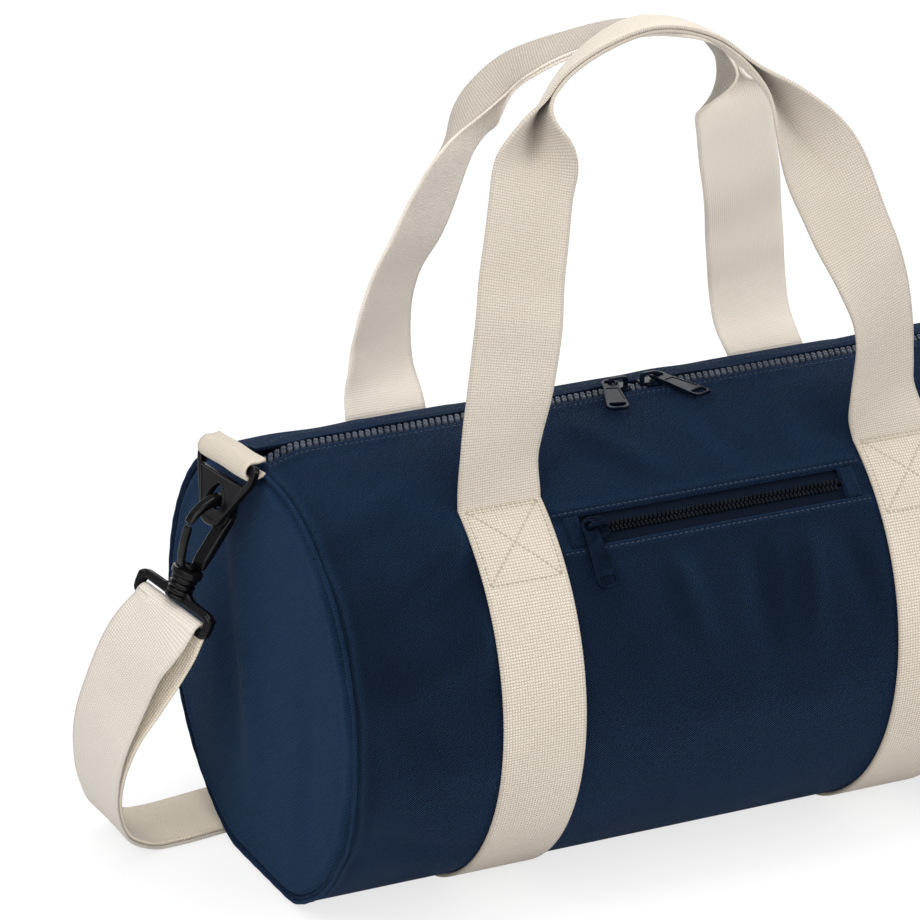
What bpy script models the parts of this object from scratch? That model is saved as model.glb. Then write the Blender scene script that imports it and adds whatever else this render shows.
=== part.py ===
"""Mini barrel duffel bag: round fabric body, webbing handles, zips and a clip-on shoulder strap.

Metres, +Z up. X runs along the barrel, -Y is the front with the pocket, and the origin lies on the
ground under the middle of the bag. The right end repeats the left one, mirrored in X.
"""

import math

import bmesh
import bpy
from mathutils import Matrix, Vector

# Barrel
BARREL_RADIUS = 0.095
BARREL_LENGTH = 0.3464
BASE_FLAT_SHARE = 0.316
FABRIC = 0.0014
CLEARANCE = 0.0003
OVERRUN = 0.004
ARC_STEP = math.radians(7.5)

# Webbing
WEBBING_WIDTH = 0.0362
WEBBING = 0.0015
BAND_SPACING = 0.0302
STITCH_TOP_ANGLE = math.radians(34)

# Handles, from the stitched feet up to the grips
FRONT_HANDLE_RISE = 0.1743
REAR_HANDLE_RISE = 0.1673
GRIP_WIDTH = 0.018
GRIP_THICKNESS = 0.0034
HANDLE_SPACING = 0.010
LEVEL_END_SHARE = 0.2
LEG_END_SHARE = 0.76
GRIP_START_SHARE = 0.92
# Half routes, foot to apex: shares of the foot's X and Y, and of the rise
FRONT_ROUTE_SHARES = (
    (1.0, 1.0, 0.0),
    (0.97, 0.955, 0.104),
    (0.945, 0.985, 0.255),
    (0.895, 0.945, 0.392),
    (0.825, 0.79, 0.513),
    (0.722, 0.573, 0.677),
    (0.59, 0.33, 0.834),
    (0.33, 0.14, 0.955),
    (0.0, 0.085, 1.0),
)
REAR_ROUTE_SHARES = (
    (1.0, 1.0, 0.0),
    (0.978, 1.15, 0.085),
    (0.962, 1.21, 0.183),
    (0.914, 1.15, 0.344),
    (0.85, 1.01, 0.458),
    (0.785, 0.88, 0.6),
    (0.69, 0.72, 0.77),
    (0.55, 0.53, 0.9),
    (0.32, 0.34, 0.975),
    (0.0, 0.28, 1.0),
)

# Zips, shared by the mouth and the pocket
MOUTH_Y = 0.004
MOUTH_HALF_GAP = 0.004
TOOTH_WIDTH = 0.0024
TOOTH_HEIGHT = 0.0022
TOOTH_SPLIT = 0.001
TAPE = 0.0006
MOUTH_TAPE_WIDTH = 0.0125
SLIDER_LENGTH = 0.0105
SLIDER_HALF_WIDTH = 0.0046
SLIDER_PLATE = 0.0012
SLIDER_WEB = 0.0004
BRIDGE_WIDTH = 0.0018
BRIDGE_WINDOW = 0.0024
BRIDGE_BAR = 0.0012
MOUTH_SLIDER_X = 0.0075
PULLER_LENGTH = 0.027
PULLER_EYE_HALF_WIDTH = 0.0036
PULLER_TIP_HALF_WIDTH = 0.0048
PULLER = 0.0013
PULLER_EYE_RADIUS = 0.0021
MOUTH_PULLER_SPLAY = math.radians(19)
MOUTH_PULLER_DROOP = math.radians(4)

# Pocket
POCKET_ANGLE = math.radians(44.8)
POCKET_HALF_LENGTH = 0.060
POCKET_HALF_GAP = 0.0065
POCKET_TAPE_WIDTH = 0.012
POCKET_SLIDER_GAP = 0.00075
POCKET_TAB_LENGTH = 0.0065
POUCH_OVERLAP = 0.006
POUCH_INSET = 0.0009
POUCH_DEPTH = 0.0095
POUCH_DROP_SHARE = 0.39
LINING = 0.0006

# End seams
BINDING_WIDTH = 0.010
BINDING = 0.0010

# Ring and tab, in the ring's own frame: across the bar, and down from the bar
TAB_STANDOFF = 0.0069
TAB_OFFSET_Y = 0.0085
TAB_DROP = 0.0023
TAB_YAW = math.radians(7)
RING_TILT = math.radians(21)
RING = 0.003
RING_BAR = 0.0044
RING_ROOM = 0.0006
RING_SIDE = 0.0028
RING_LENGTH = 0.0285
RING_TIP_HALF_WIDTH = 0.0085
RING_SLOT_FLOOR = 0.0074
RING_HOLE_TOP = 0.0105
RING_HOLE_FLOOR = 0.0211
RING_HOLE_HALF_WIDTH = 0.0055
TAB_LOOP_RADIUS = 0.0030
TAB_TAIL = 0.014
TAB_TAIL_DROP = 0.0006

# Snap hook, in its own frame: outwards from the spine, and down from the arch it hangs by
HOOK_YAW = math.radians(17)
HOOK_TILT = math.radians(20)
HOOK_ROLL = math.radians(-11.5)
HOOK_HANG_GAP = 0.0008
HOOK_THICKNESS = 0.0046
HOOK_WIDTH = 0.0126
HOOK_HEIGHT = 0.0315
HOOK_ARCH = 0.0056
COLLAR_RADIUS = 0.0066
COLLAR_TOP = 0.0285
COLLAR_LENGTH = 0.0035
STEM_RADIUS = 0.0020
STEM_HEAD_RADIUS = 0.0028
STEM_HEAD_HEIGHT = 0.0013
BARREL_END = 0.0424
SWIVEL_RADIUS = 0.0054
SWIVEL_GROOVE = 0.0007
SWIVEL_RIBS = 4
GATE_PIVOT_SHARES = (0.413, 0.851)
EYE_ROOM = 0.0011
EYE_SIDE = 0.0040
EYE_THICKNESS = 0.0034
EYE_TOP = 0.0385
EYE_SLOT_TOP = 0.0428
EYE_BAR = 0.0036
EYE_BAR_DROP = 0.0486

# Shoulder strap
STRAP_PLY_GAP = 0.0006
STRAP_SPACING = 0.007
STRAP_TWIST_SHARE = 0.8
EYE_TURN_STEPS = 5
ADJUSTER_ROOM = 0.0011
ADJUSTER_HALF_LENGTH = 0.0145
ADJUSTER = 0.0024
ADJUSTER_SIDE = 0.0036
ADJUSTER_BAR = 0.0040
STRAP_BOW = 0.0536
STRAP_LANDING_SHARE = 0.616
# The outer ply at the left end, chosen by hand: shares of the bow beyond the end panel, of the way
# back from the eye to the landing, and of the eye's height
STRAP_DROP_SHARES = (
    (0.817, 0.148, 0.859),
    (0.929, 0.322, 0.680),
    (1.0, 0.507, 0.497),
    (0.989, 0.664, 0.346),
    (0.925, 0.798, 0.208),
    (0.771, 0.926, 0.075),
    (0.537, 1.0, 0.009),
)
# How far the inner ply lies inside each of those points
STRAP_PLY_SPREADS = (0.0085, 0.0095, 0.0075, 0.0050, 0.0034, 0.0024, 0.0021)
# Where it lies on the ground: shares of half the barrel's length, and of the way in Y to the adjuster
STRAP_GROUND_SHARES = ((1.097, 0.077), (1.028, 0.181), (0.635, 0.839))

# Derived places
HALF_LENGTH = BARREL_LENGTH / 2
BAND_CENTRE = POCKET_HALF_LENGTH + BAND_SPACING
POUCH_HALF_WIDTH = POCKET_HALF_LENGTH + POUCH_OVERLAP
BASE_FLAT_HALF_WIDTH = BASE_FLAT_SHARE * BARREL_RADIUS
BASE_HEIGHT = WEBBING + CLEARANCE
AXIS_HEIGHT = BASE_HEIGHT + math.sqrt(BARREL_RADIUS**2 - BASE_FLAT_HALF_WIDTH**2)
MOUTH_ANGLE = -math.asin(MOUTH_Y / BARREL_RADIUS)
TAPE_TOP = -FABRIC - 2 * CLEARANCE
TOOTH_FLOOR = TAPE_TOP + 1.5 * CLEARANCE
TOOTH_TOP = TOOTH_FLOOR + TOOTH_HEIGHT
PANEL_HALF_LENGTH = HALF_LENGTH - FABRIC - CLEARANCE
BINDING_INNER_X = PANEL_HALF_LENGTH - BINDING_WIDTH
RING_SLOT_HALF_WIDTH = WEBBING_WIDTH / 2 + RING_ROOM
RING_HALF_WIDTH = RING_SLOT_HALF_WIDTH + RING_SIDE
EYE_SLOT_HALF_WIDTH = WEBBING_WIDTH / 2 + EYE_ROOM
EYE_HALF_WIDTH = EYE_SLOT_HALF_WIDTH + EYE_SIDE
ADJUSTER_HALF_WIDTH = WEBBING_WIDTH / 2 + ADJUSTER_ROOM + ADJUSTER_SIDE
ADJUSTER_Y = BARREL_RADIUS + CLEARANCE + WEBBING - ADJUSTER_HALF_WIDTH
STRAP_LANDING_Y = STRAP_LANDING_SHARE * BARREL_RADIUS
TAB_BAR = Vector((-HALF_LENGTH - TAB_STANDOFF, TAB_OFFSET_Y, AXIS_HEIGHT + BARREL_RADIUS - TAB_DROP))
POCKET_SLIDER_X = SLIDER_LENGTH / 2 + POCKET_SLIDER_GAP - POCKET_HALF_LENGTH


def clear_scene():
    for old in list(bpy.data.objects):
        bpy.data.objects.remove(old, do_unlink=True)


def new_collection(name):
    collection = bpy.data.collections.new(name)
    bpy.context.scene.collection.children.link(collection)
    return collection


def make_material(name, colour, roughness, metallic=0.0):
    material = bpy.data.materials.new(name)
    material.use_nodes = True
    shader = material.node_tree.nodes["Principled BSDF"]
    shader.inputs["Base Color"].default_value = (*colour, 1.0)
    shader.inputs["Roughness"].default_value = roughness
    shader.inputs["Metallic"].default_value = metallic
    material.diffuse_color = (*colour, 1.0)
    return material


clear_scene()
BAG = new_collection("mini_duffel_bag")
CUTTERS = new_collection("cutters")

NAVY = (0.018, 0.032, 0.075)
DARK_NAVY = (0.010, 0.016, 0.035)
CREAM = (0.72, 0.65, 0.55)
BLACK = (0.012, 0.012, 0.014)
GUNMETAL = (0.055, 0.055, 0.065)


def finish(obj, material_name, colour, roughness, metallic=0.0, parent=None):
    """Give the object its own material, its place in the bag and its parent."""
    material = make_material(material_name, colour, roughness, metallic)
    obj.data.materials.clear()
    obj.data.materials.append(material)
    for collection in list(obj.users_collection):
        collection.objects.unlink(obj)
    BAG.objects.link(obj)
    obj.parent = parent
    return obj


def make_cutter(obj):
    for collection in list(obj.users_collection):
        collection.objects.unlink(obj)
    CUTTERS.objects.link(obj)
    obj.hide_render = True
    obj.display_type = "WIRE"
    return obj


def empty_at(name, matrix, parent=None):
    marker = bpy.data.objects.new(name, None)
    marker.empty_display_size = WEBBING_WIDTH
    BAG.objects.link(marker)
    marker.parent = parent
    marker.matrix_local = matrix
    return marker


def axes_matrix(origin, across, up):
    """A frame whose X and Y axes are the two directions given."""
    across = Vector(across).normalized()
    up = Vector(up).normalized()
    out = across.cross(up)
    matrix = Matrix((across, up, out)).transposed().to_4x4()
    matrix.translation = origin
    return matrix


def object_from(name, bm, matrix=None):
    mesh = bpy.data.meshes.new(name)
    bmesh.ops.recalc_face_normals(bm, faces=bm.faces)
    bm.to_mesh(mesh)
    bm.free()
    obj = bpy.data.objects.new(name, mesh)
    BAG.objects.link(obj)
    if matrix is not None:
        obj.matrix_local = matrix
    return obj


def outline_solid(name, loops, depth, matrix=None):
    """A flat outline, with any holes, thickened evenly both ways, as a closed mesh."""
    curve = bpy.data.curves.new(name, "CURVE")
    curve.dimensions = "2D"
    curve.fill_mode = "BOTH"
    curve.extrude = depth / 2
    for loop in loops:
        spline = curve.splines.new("POLY")
        spline.points.add(len(loop) - 1)
        for point, (x, y) in zip(spline.points, loop):
            point.co = (x, y, 0, 1)
        spline.use_cyclic_u = True
    drawn = bpy.data.objects.new(name, curve)
    BAG.objects.link(drawn)
    bpy.context.view_layer.update()
    graph = bpy.context.evaluated_depsgraph_get()
    mesh = bpy.data.meshes.new_from_object(drawn.evaluated_get(graph))
    bpy.data.objects.remove(drawn, do_unlink=True)
    bm = bmesh.new()
    bm.from_mesh(mesh)
    bpy.data.meshes.remove(mesh)
    bmesh.ops.remove_doubles(bm, verts=bm.verts, dist=TAPE / 100)
    bmesh.ops.dissolve_limit(bm, angle_limit=ARC_STEP / 20, verts=bm.verts, edges=bm.edges)
    return object_from(name, bm, matrix)


def box_solid(name, size, matrix=None):
    bm = bmesh.new()
    bmesh.ops.create_cube(bm, size=1.0, matrix=Matrix.Diagonal((*size, 1.0)))
    return object_from(name, bm, matrix)


def turned_solid(name, profile, steps=24, matrix=None):
    """A profile of radius and height, down its outer side, turned about the local Y axis."""
    bm = bmesh.new()
    rings = []
    for radius, height in profile:
        if radius == 0:
            rings.append([bm.verts.new((0, height, 0))])
            continue
        ring = []
        for step in range(steps):
            turn = 2 * math.pi * step / steps
            ring.append(bm.verts.new((radius * math.cos(turn), height, radius * math.sin(turn))))
        rings.append(ring)
    for upper, lower in zip(rings, rings[1:]):
        for step in range(steps):
            following = (step + 1) % steps
            corners = [upper[step % len(upper)], upper[following % len(upper)]]
            corners += [lower[following % len(lower)], lower[step % len(lower)]]
            bm.faces.new(list(dict.fromkeys(corners)))
    return object_from(name, bm, matrix)


def boolean(obj, other, operation):
    """Cut or join with another solid that stays behind as a wire guide."""
    modifier = obj.modifiers.new(f"{operation.lower()}_{other.name}", "BOOLEAN")
    modifier.operation = operation
    modifier.object = make_cutter(other)
    return modifier


def round_edges(obj, width, segments=1):
    bevel = obj.modifiers.new("rounded_edges", "BEVEL")
    bevel.width = width
    bevel.segments = segments
    bevel.limit_method = "ANGLE"
    return bevel


def loft(name, sections, closed=False):
    """A closed solid through a run of sections that have the same number of corners."""
    bm = bmesh.new()
    rings = [[bm.verts.new(corner) for corner in section] for section in sections]
    pairs = list(zip(rings, rings[1:]))
    if closed:
        pairs.append((rings[-1], rings[0]))
    for near, far in pairs:
        for index in range(len(near)):
            following = (index + 1) % len(near)
            bm.faces.new((near[index], near[following], far[following], far[index]))
    if not closed:
        bm.faces.new(list(reversed(rings[0])))
        bm.faces.new(rings[-1])
    return object_from(name, bm)


def barrel_point(angle, offset):
    """Y and Z on the barrel, or that far outside it. The angle runs from the top to the front."""
    radius = BARREL_RADIUS + offset
    height = AXIS_HEIGHT + radius * math.cos(angle)
    return (-radius * math.sin(angle), max(height, BASE_HEIGHT - offset))


def barrel_arc(start, end, offset):
    """Corners at whole arc steps between two angles, with one at each edge of the flat base."""
    base = math.acos((BASE_HEIGHT - offset - AXIS_HEIGHT) / (BARREL_RADIUS + offset))
    low, high = min(start, end), max(start, end)
    corners = [index * ARC_STEP for index in range(math.ceil(low / ARC_STEP), math.ceil(high / ARC_STEP))]
    corners = [turn for turn in corners if turn <= base or turn >= 2 * math.pi - base]
    corners += [base, 2 * math.pi - base]
    margin = ARC_STEP / 20
    corners = [low] + sorted(turn for turn in corners if low + margin < turn < high - margin) + [high]
    if start > end:
        corners.reverse()
    return [barrel_point(turn, offset) for turn in corners]


def across_barrel(x):
    """The frame for outlines drawn in Y and Z and thickened along X."""
    return axes_matrix((x, 0, 0), (0, 1, 0), (0, 0, 1))


def barrel_sheet(name, start, end, outside, thickness, width, x=0.0):
    """A sheet that follows the barrel between two angles."""
    outline = barrel_arc(start, end, outside) + barrel_arc(end, start, outside - thickness)
    return outline_solid(name, [outline], width, across_barrel(x))


def surface_matrix(x, angle):
    """A frame on the barrel: X along it, Y up the surface towards the top, Z out of it."""
    y, z = barrel_point(angle, 0)
    along = Vector((1, 0, 0))
    out = Vector((0, -math.sin(angle), math.cos(angle)))
    matrix = Matrix((along, out.cross(along), out)).transposed().to_4x4()
    matrix.translation = (x, y, z)
    return matrix


def smooth_route(points, spacing):
    """Stations about that far apart on a smooth curve through every point."""
    points = [Vector(point) for point in points]
    chords = [far - near for near, far in zip(points, points[1:])]
    slopes = [chord.normalized() for chord in chords]
    headings = [slopes[0]]
    for near, far, before, after in zip(chords, chords[1:], slopes, slopes[1:]):
        whole = near.length + far.length
        headings.append(before * (far.length / whole) + after * (near.length / whole))
    headings.append(slopes[-1])
    route = [points[0]]
    for index, chord in enumerate(chords):
        start, end = points[index], points[index + 1]
        leave, arrive = headings[index] * chord.length, headings[index + 1] * chord.length
        steps = max(1, round(chord.length / spacing))
        for step in range(1, steps + 1):
            t = step / steps
            near = start * (1 + 2 * t) * (1 - t) ** 2 + leave * t * (1 - t) ** 2
            far = end * t * t * (3 - 2 * t) - arrive * t * t * (1 - t)
            route.append(near + far)
    return route


def tangents(route):
    found = []
    for index in range(len(route)):
        before = route[max(index - 1, 0)]
        after = route[min(index + 1, len(route) - 1)]
        found.append((after - before).normalized())
    return found


def ribbon_sections(route, widthways, width, thickness):
    """Flat webbing sections along a route, with the direction of the width given at each station."""
    sections = []
    for place, along, across in zip(route, tangents(route), widthways):
        side = (across - along * across.dot(along)).normalized() * width / 2
        face = side.cross(along).normalized() * thickness / 2
        sections.append([place + side + face, place - side + face, place - side - face, place + side - face])
    return sections


# Fabric shell


def make_body_panel():
    """The wrap of the barrel: one panel from the front edge of the zip, under the bag, to the rear edge."""
    half_gap = MOUTH_HALF_GAP / BARREL_RADIUS
    start = MOUTH_ANGLE + half_gap
    end = MOUTH_ANGLE + 2 * math.pi - half_gap
    panel = barrel_sheet("body_panel", start, end, 0, FABRIC, 2 * PANEL_HALF_LENGTH)
    window = (2 * POCKET_HALF_LENGTH, 2 * POCKET_HALF_GAP, 2 * OVERRUN)
    boolean(panel, box_solid("pocket_window", window, surface_matrix(0, POCKET_ANGLE)), "DIFFERENCE")
    return finish(panel, "body_fabric", NAVY, 0.85)


def make_end_panel(name, side):
    outline = barrel_arc(0, 2 * math.pi, 0)[:-1]
    x = side * (HALF_LENGTH - FABRIC / 2)
    panel = outline_solid(name, [outline], FABRIC, across_barrel(x))
    return finish(panel, name + "_fabric", NAVY, 0.85)


def make_seam_binding(name, side):
    """The folded tape that binds the raw edges inside the end seam."""
    outside = -FABRIC - CLEARANCE
    rings = [barrel_arc(0, 2 * math.pi, offset)[:-1] for offset in (outside, outside - BINDING)]
    x = side * (PANEL_HALF_LENGTH - BINDING_WIDTH / 2)
    binding = outline_solid(name, rings, BINDING_WIDTH, across_barrel(x))
    return finish(binding, name + "_tape", DARK_NAVY, 0.9)


# Zips


def make_tape(name, angle, side, width, half_length):
    """Half a zip's tape, from the split between the teeth outwards under the fabric."""
    split = TOOTH_SPLIT / 2 / BARREL_RADIUS
    start = angle + side * split
    end = angle + side * width / BARREL_RADIUS
    tape = barrel_sheet(name, start, end, TAPE_TOP, TAPE, 2 * half_length)
    return finish(tape, name + "_weave", DARK_NAVY, 0.9)


def make_teeth(name, angle, side, half_length):
    """Half a zip's coil, as a bar that stands on its tape."""
    size = (2 * half_length, TOOTH_WIDTH, TOOTH_HEIGHT)
    shift = Matrix.Translation((0, -side * (TOOTH_SPLIT + TOOTH_WIDTH) / 2, TOOTH_FLOOR + TOOTH_HEIGHT / 2))
    teeth = box_solid(name, size, surface_matrix(0, angle) @ shift)
    round_edges(teeth, TOOTH_HEIGHT / 4)
    return finish(teeth, name + "_coil", BLACK, 0.45)


def slider_mesh():
    """The runner: two plates joined through the split, with a bridge over the top for the puller."""
    top = TOOTH_TOP + CLEARANCE
    floor = TAPE_TOP - TAPE - 2 * CLEARANCE
    crown = top + SLIDER_PLATE
    lip = top - SLIDER_PLATE / 2
    half = SLIDER_HALF_WIDTH
    lip_inner = half - SLIDER_PLATE * 0.8
    web = SLIDER_WEB / 2
    right = [
        (half, crown),
        (half, lip),
        (lip_inner, lip),
        (lip_inner, top),
        (web, top),
        (web, floor),
        (half, floor),
        (half, floor - SLIDER_PLATE),
    ]
    left = [(-y, z) for y, z in reversed(right)]
    runner = outline_solid("slider_runner", [right + left], SLIDER_LENGTH, across_barrel(0))
    reach = SLIDER_LENGTH / 2 - BRIDGE_BAR / 2
    window = reach - BRIDGE_WIDTH
    roof = crown + BRIDGE_WINDOW
    arch = [
        (-reach, crown - SLIDER_PLATE / 2),
        (-reach, roof + BRIDGE_BAR / 3),
        (-window, roof + BRIDGE_BAR),
        (window, roof + BRIDGE_BAR),
        (reach, roof + BRIDGE_BAR / 3),
        (reach, crown - SLIDER_PLATE / 2),
        (window, crown - SLIDER_PLATE / 2),
        (window, roof),
        (-window, roof),
        (-window, crown - SLIDER_PLATE / 2),
    ]
    bridge = outline_solid("slider_bridge", [arch], BRIDGE_WIDTH, axes_matrix((0, 0, 0), (1, 0, 0), (0, 0, 1)))
    boolean(runner, bridge, "UNION")
    bpy.context.view_layer.update()
    graph = bpy.context.evaluated_depsgraph_get()
    mesh = bpy.data.meshes.new_from_object(runner.evaluated_get(graph))
    mesh.transform(runner.matrix_world)
    bpy.data.objects.remove(runner, do_unlink=True)
    return mesh


def make_slider(name, mesh, place):
    slider = bpy.data.objects.new(name, mesh.copy())
    BAG.objects.link(slider)
    slider.matrix_local = place
    return finish(slider, name + "_metal", GUNMETAL, 0.3, 0.8)


BRIDGE_LEG_X = SLIDER_LENGTH / 2 - BRIDGE_BAR / 2 - BRIDGE_WIDTH / 2
PULLER_HEIGHT = TOOTH_TOP + CLEARANCE + SLIDER_PLATE + BRIDGE_WINDOW / 2


def make_puller(name, place):
    """The pull: a tapered plate along local -Y, whose round eye goes about a leg of the bridge."""
    eye, tip = PULLER_EYE_HALF_WIDTH, PULLER_TIP_HALF_WIDTH
    outline = []
    for step in range(9):
        turn = math.pi * step / 8
        outline.append((eye * math.cos(turn), eye * math.sin(turn)))
    outline += [(-tip, -PULLER_LENGTH + tip / 2), (-tip * 0.7, -PULLER_LENGTH)]
    outline += [(tip * 0.7, -PULLER_LENGTH), (tip, -PULLER_LENGTH + tip / 2)]
    bore = []
    grip_hole = []
    for step in range(16):
        turn = 2 * math.pi * step / 16
        bore.append((PULLER_EYE_RADIUS * math.cos(turn), PULLER_EYE_RADIUS * math.sin(turn)))
        grip_hole.append(
            (tip * 0.62 * math.cos(turn), -PULLER_LENGTH + tip * 0.75 + tip * 0.4 * math.sin(turn))
        )
    puller = outline_solid(name, [outline, bore, grip_hole], PULLER, place)
    return finish(puller, name + "_metal", GUNMETAL, 0.3, 0.8)


def make_mouth_zip(slider):
    half_length = BINDING_INNER_X - CLEARANCE
    for name, side in (("front", 1), ("rear", -1)):
        make_tape(f"mouth_tape_{name}", MOUTH_ANGLE, side, MOUTH_TAPE_WIDTH, half_length)
        make_teeth(f"mouth_teeth_{name}", MOUTH_ANGLE, side, PANEL_HALF_LENGTH)
    for name, side in (("left", -1), ("right", 1)):
        place = surface_matrix(side * MOUTH_SLIDER_X, MOUTH_ANGLE)
        make_slider(f"mouth_slider_{name}", slider, place)
        leg = surface_matrix(side * (MOUTH_SLIDER_X + BRIDGE_LEG_X), MOUTH_ANGLE)
        turn = Matrix.Rotation(side * MOUTH_PULLER_SPLAY, 4, "Z")
        droop = Matrix.Rotation(MOUTH_PULLER_DROOP, 4, "X")
        lift = Matrix.Translation((0, 0, PULLER_HEIGHT))
        make_puller(f"mouth_puller_{name}", leg @ lift @ turn @ droop)


def make_pocket_zip(slider):
    half_length = POCKET_HALF_LENGTH + POCKET_TAB_LENGTH
    for name, side in (("upper", -1), ("lower", 1)):
        make_tape(f"pocket_tape_{name}", POCKET_ANGLE, side, POCKET_TAPE_WIDTH, half_length)
        make_teeth(f"pocket_teeth_{name}", POCKET_ANGLE, side, POCKET_HALF_LENGTH - CLEARANCE)
    place = surface_matrix(POCKET_SLIDER_X, POCKET_ANGLE)
    make_slider("pocket_slider", slider, place)
    leg = surface_matrix(POCKET_SLIDER_X - BRIDGE_LEG_X, POCKET_ANGLE)
    make_puller("pocket_puller", leg @ Matrix.Translation((0, 0, PULLER_HEIGHT)))


def make_pocket_tab(name, side):
    """The fabric patch that closes an end of the pocket's zip."""
    half_height = POCKET_HALF_GAP / BARREL_RADIUS
    x = side * (POCKET_HALF_LENGTH + POCKET_TAB_LENGTH / 2)
    tab = barrel_sheet(
        name,
        POCKET_ANGLE - half_height,
        POCKET_ANGLE + half_height,
        FABRIC / 2 + CLEARANCE,
        FABRIC / 2,
        POCKET_TAB_LENGTH,
        x,
    )
    return finish(tab, name + "_fabric", NAVY, 0.85)


def make_pocket_pouch():
    """The lining bag behind the pocket's zip, open at its mouth and hanging straight down."""
    below = TAPE_TOP - TAPE - 2 * CLEARANCE
    reach = (POCKET_TAPE_WIDTH - POCKET_HALF_GAP / 2) / BARREL_RADIUS
    back_top = barrel_point(POCKET_ANGLE - reach, below)
    front_top = barrel_point(POCKET_ANGLE + reach, below)
    back_y = back_top[0] + POUCH_INSET
    front_y = back_y - POUCH_DEPTH
    bottom = AXIS_HEIGHT - POUCH_DROP_SHARE * BARREL_RADIUS
    outer = [
        back_top,
        (back_y, back_top[1] - POUCH_DEPTH),
        (back_y, bottom),
        (front_y, bottom),
        (front_y, front_top[1] - POUCH_DEPTH),
        front_top,
    ]
    pouch = outline_solid("pocket_pouch", [outer], 2 * POUCH_HALF_WIDTH, across_barrel(0))
    mouth = [
        (back_top[0] - LINING, back_top[1]),
        (back_y - LINING, back_top[1] - POUCH_DEPTH),
        (back_y - LINING, bottom + LINING),
        (front_y + LINING, bottom + LINING),
        (front_y + LINING, front_top[1] - POUCH_DEPTH),
        (front_top[0] + LINING, front_top[1]),
        (front_top[0] - OVERRUN, front_top[1] + 2 * OVERRUN),
        (back_top[0] - OVERRUN, back_top[1] + 2 * OVERRUN),
    ]
    hollow = outline_solid("pouch_hollow", [mouth], 2 * (POUCH_HALF_WIDTH - LINING), across_barrel(0))
    boolean(pouch, hollow, "DIFFERENCE")
    return finish(pouch, "pouch_lining", DARK_NAVY, 0.9)


# Webbing sewn round the barrel, and the handles that rise from it


def make_band(name, side):
    """The webbing sewn round the barrel between the tops of the two handle stitchings."""
    start = STITCH_TOP_ANGLE + (WEBBING / 2 + 2 * CLEARANCE) / BARREL_RADIUS
    end = 2 * math.pi - start
    band = barrel_sheet(
        name, start, end, CLEARANCE + WEBBING, WEBBING, WEBBING_WIDTH, side * BAND_CENTRE
    )
    return finish(band, name + "_webbing", CREAM, 0.8)


def eased(value, start, end):
    """Nought before the start and one after the end, with a smooth change between."""
    share = min(max((value - start) / (end - start), 0), 1)
    return share * share * (3 - 2 * share)


def handle_sections(route, facing):
    """Flat webbing in the legs, level at the stitched feet and folded in two along the grip."""
    ways = tangents(route)
    slope = Vector((0, -facing * math.cos(STITCH_TOP_ANGLE), math.sin(STITCH_TOP_ANGLE)))
    ways[0] = slope
    ways[-1] = -slope
    foot, apex = route[0].z, max(place.z for place in route)
    sections = []
    for place, along in zip(route, ways):
        share = (place.z - foot) / (apex - foot)
        fold = eased(share, LEG_END_SHARE, GRIP_START_SHARE)
        in_plane = WEBBING_WIDTH * (1 - fold) + GRIP_THICKNESS * fold
        depth = WEBBING * (1 - fold) + GRIP_WIDTH * fold
        side = Vector((0, 1, 0)).cross(along).normalized()
        side.z *= eased(share, 0, LEVEL_END_SHARE)
        side.normalize()
        face = side.cross(along).normalized()
        side *= in_plane / 2
        face *= depth / 2
        sections.append([place + side + face, place - side + face, place - side - face, place + side - face])
    return sections


def make_handle(name, facing, rise, shares):
    """One carrying loop: up the left leg, over the grip and down the right leg."""
    foot_y, foot_z = barrel_point(STITCH_TOP_ANGLE, CLEARANCE + WEBBING / 2)
    half = [
        Vector((-share_x * BAND_CENTRE, facing * share_y * abs(foot_y), foot_z + share_z * rise))
        for share_x, share_y, share_z in shares
    ]
    mirrored = [Vector((-point.x, point.y, point.z)) for point in reversed(half[:-1])]
    route = smooth_route(half + mirrored, HANDLE_SPACING)
    pivot = Vector((0, facing * abs(foot_y), foot_z))
    handle = loft(name, handle_sections([place - pivot for place in route], facing))
    handle.location = pivot
    return finish(handle, name + "_webbing", CREAM, 0.8)


# Ring, tab, snap hook and strap end, drawn for the left end


def tilted_frame(origin, yaw, tilt, roll=0.0):
    """X out from the bag, Y up and Z towards the rear, turned by the yaw, leaned out and rolled."""
    outward = Matrix.Rotation(yaw, 3, "Z") @ Vector((-1, 0, 0))
    rearward = Matrix.Rotation(yaw, 3, "Z") @ Vector((0, 1, 0))
    lean = Matrix.Rotation(roll, 3, outward) @ Matrix.Rotation(tilt, 3, rearward)
    return axes_matrix(origin, lean @ outward, lean @ Vector((0, 0, 1)))


RING_FRAME = tilted_frame(TAB_BAR, TAB_YAW, RING_TILT)
HOOK_CONTACT = RING_FRAME @ Vector((0, HOOK_HANG_GAP - RING_HOLE_FLOOR, 0))
HOOK_FRAME = tilted_frame(HOOK_CONTACT, HOOK_YAW, HOOK_TILT, HOOK_ROLL)
PLATE_VIEW = axes_matrix((0, 0, 0), (0, 0, 1), (0, 1, 0))


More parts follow.
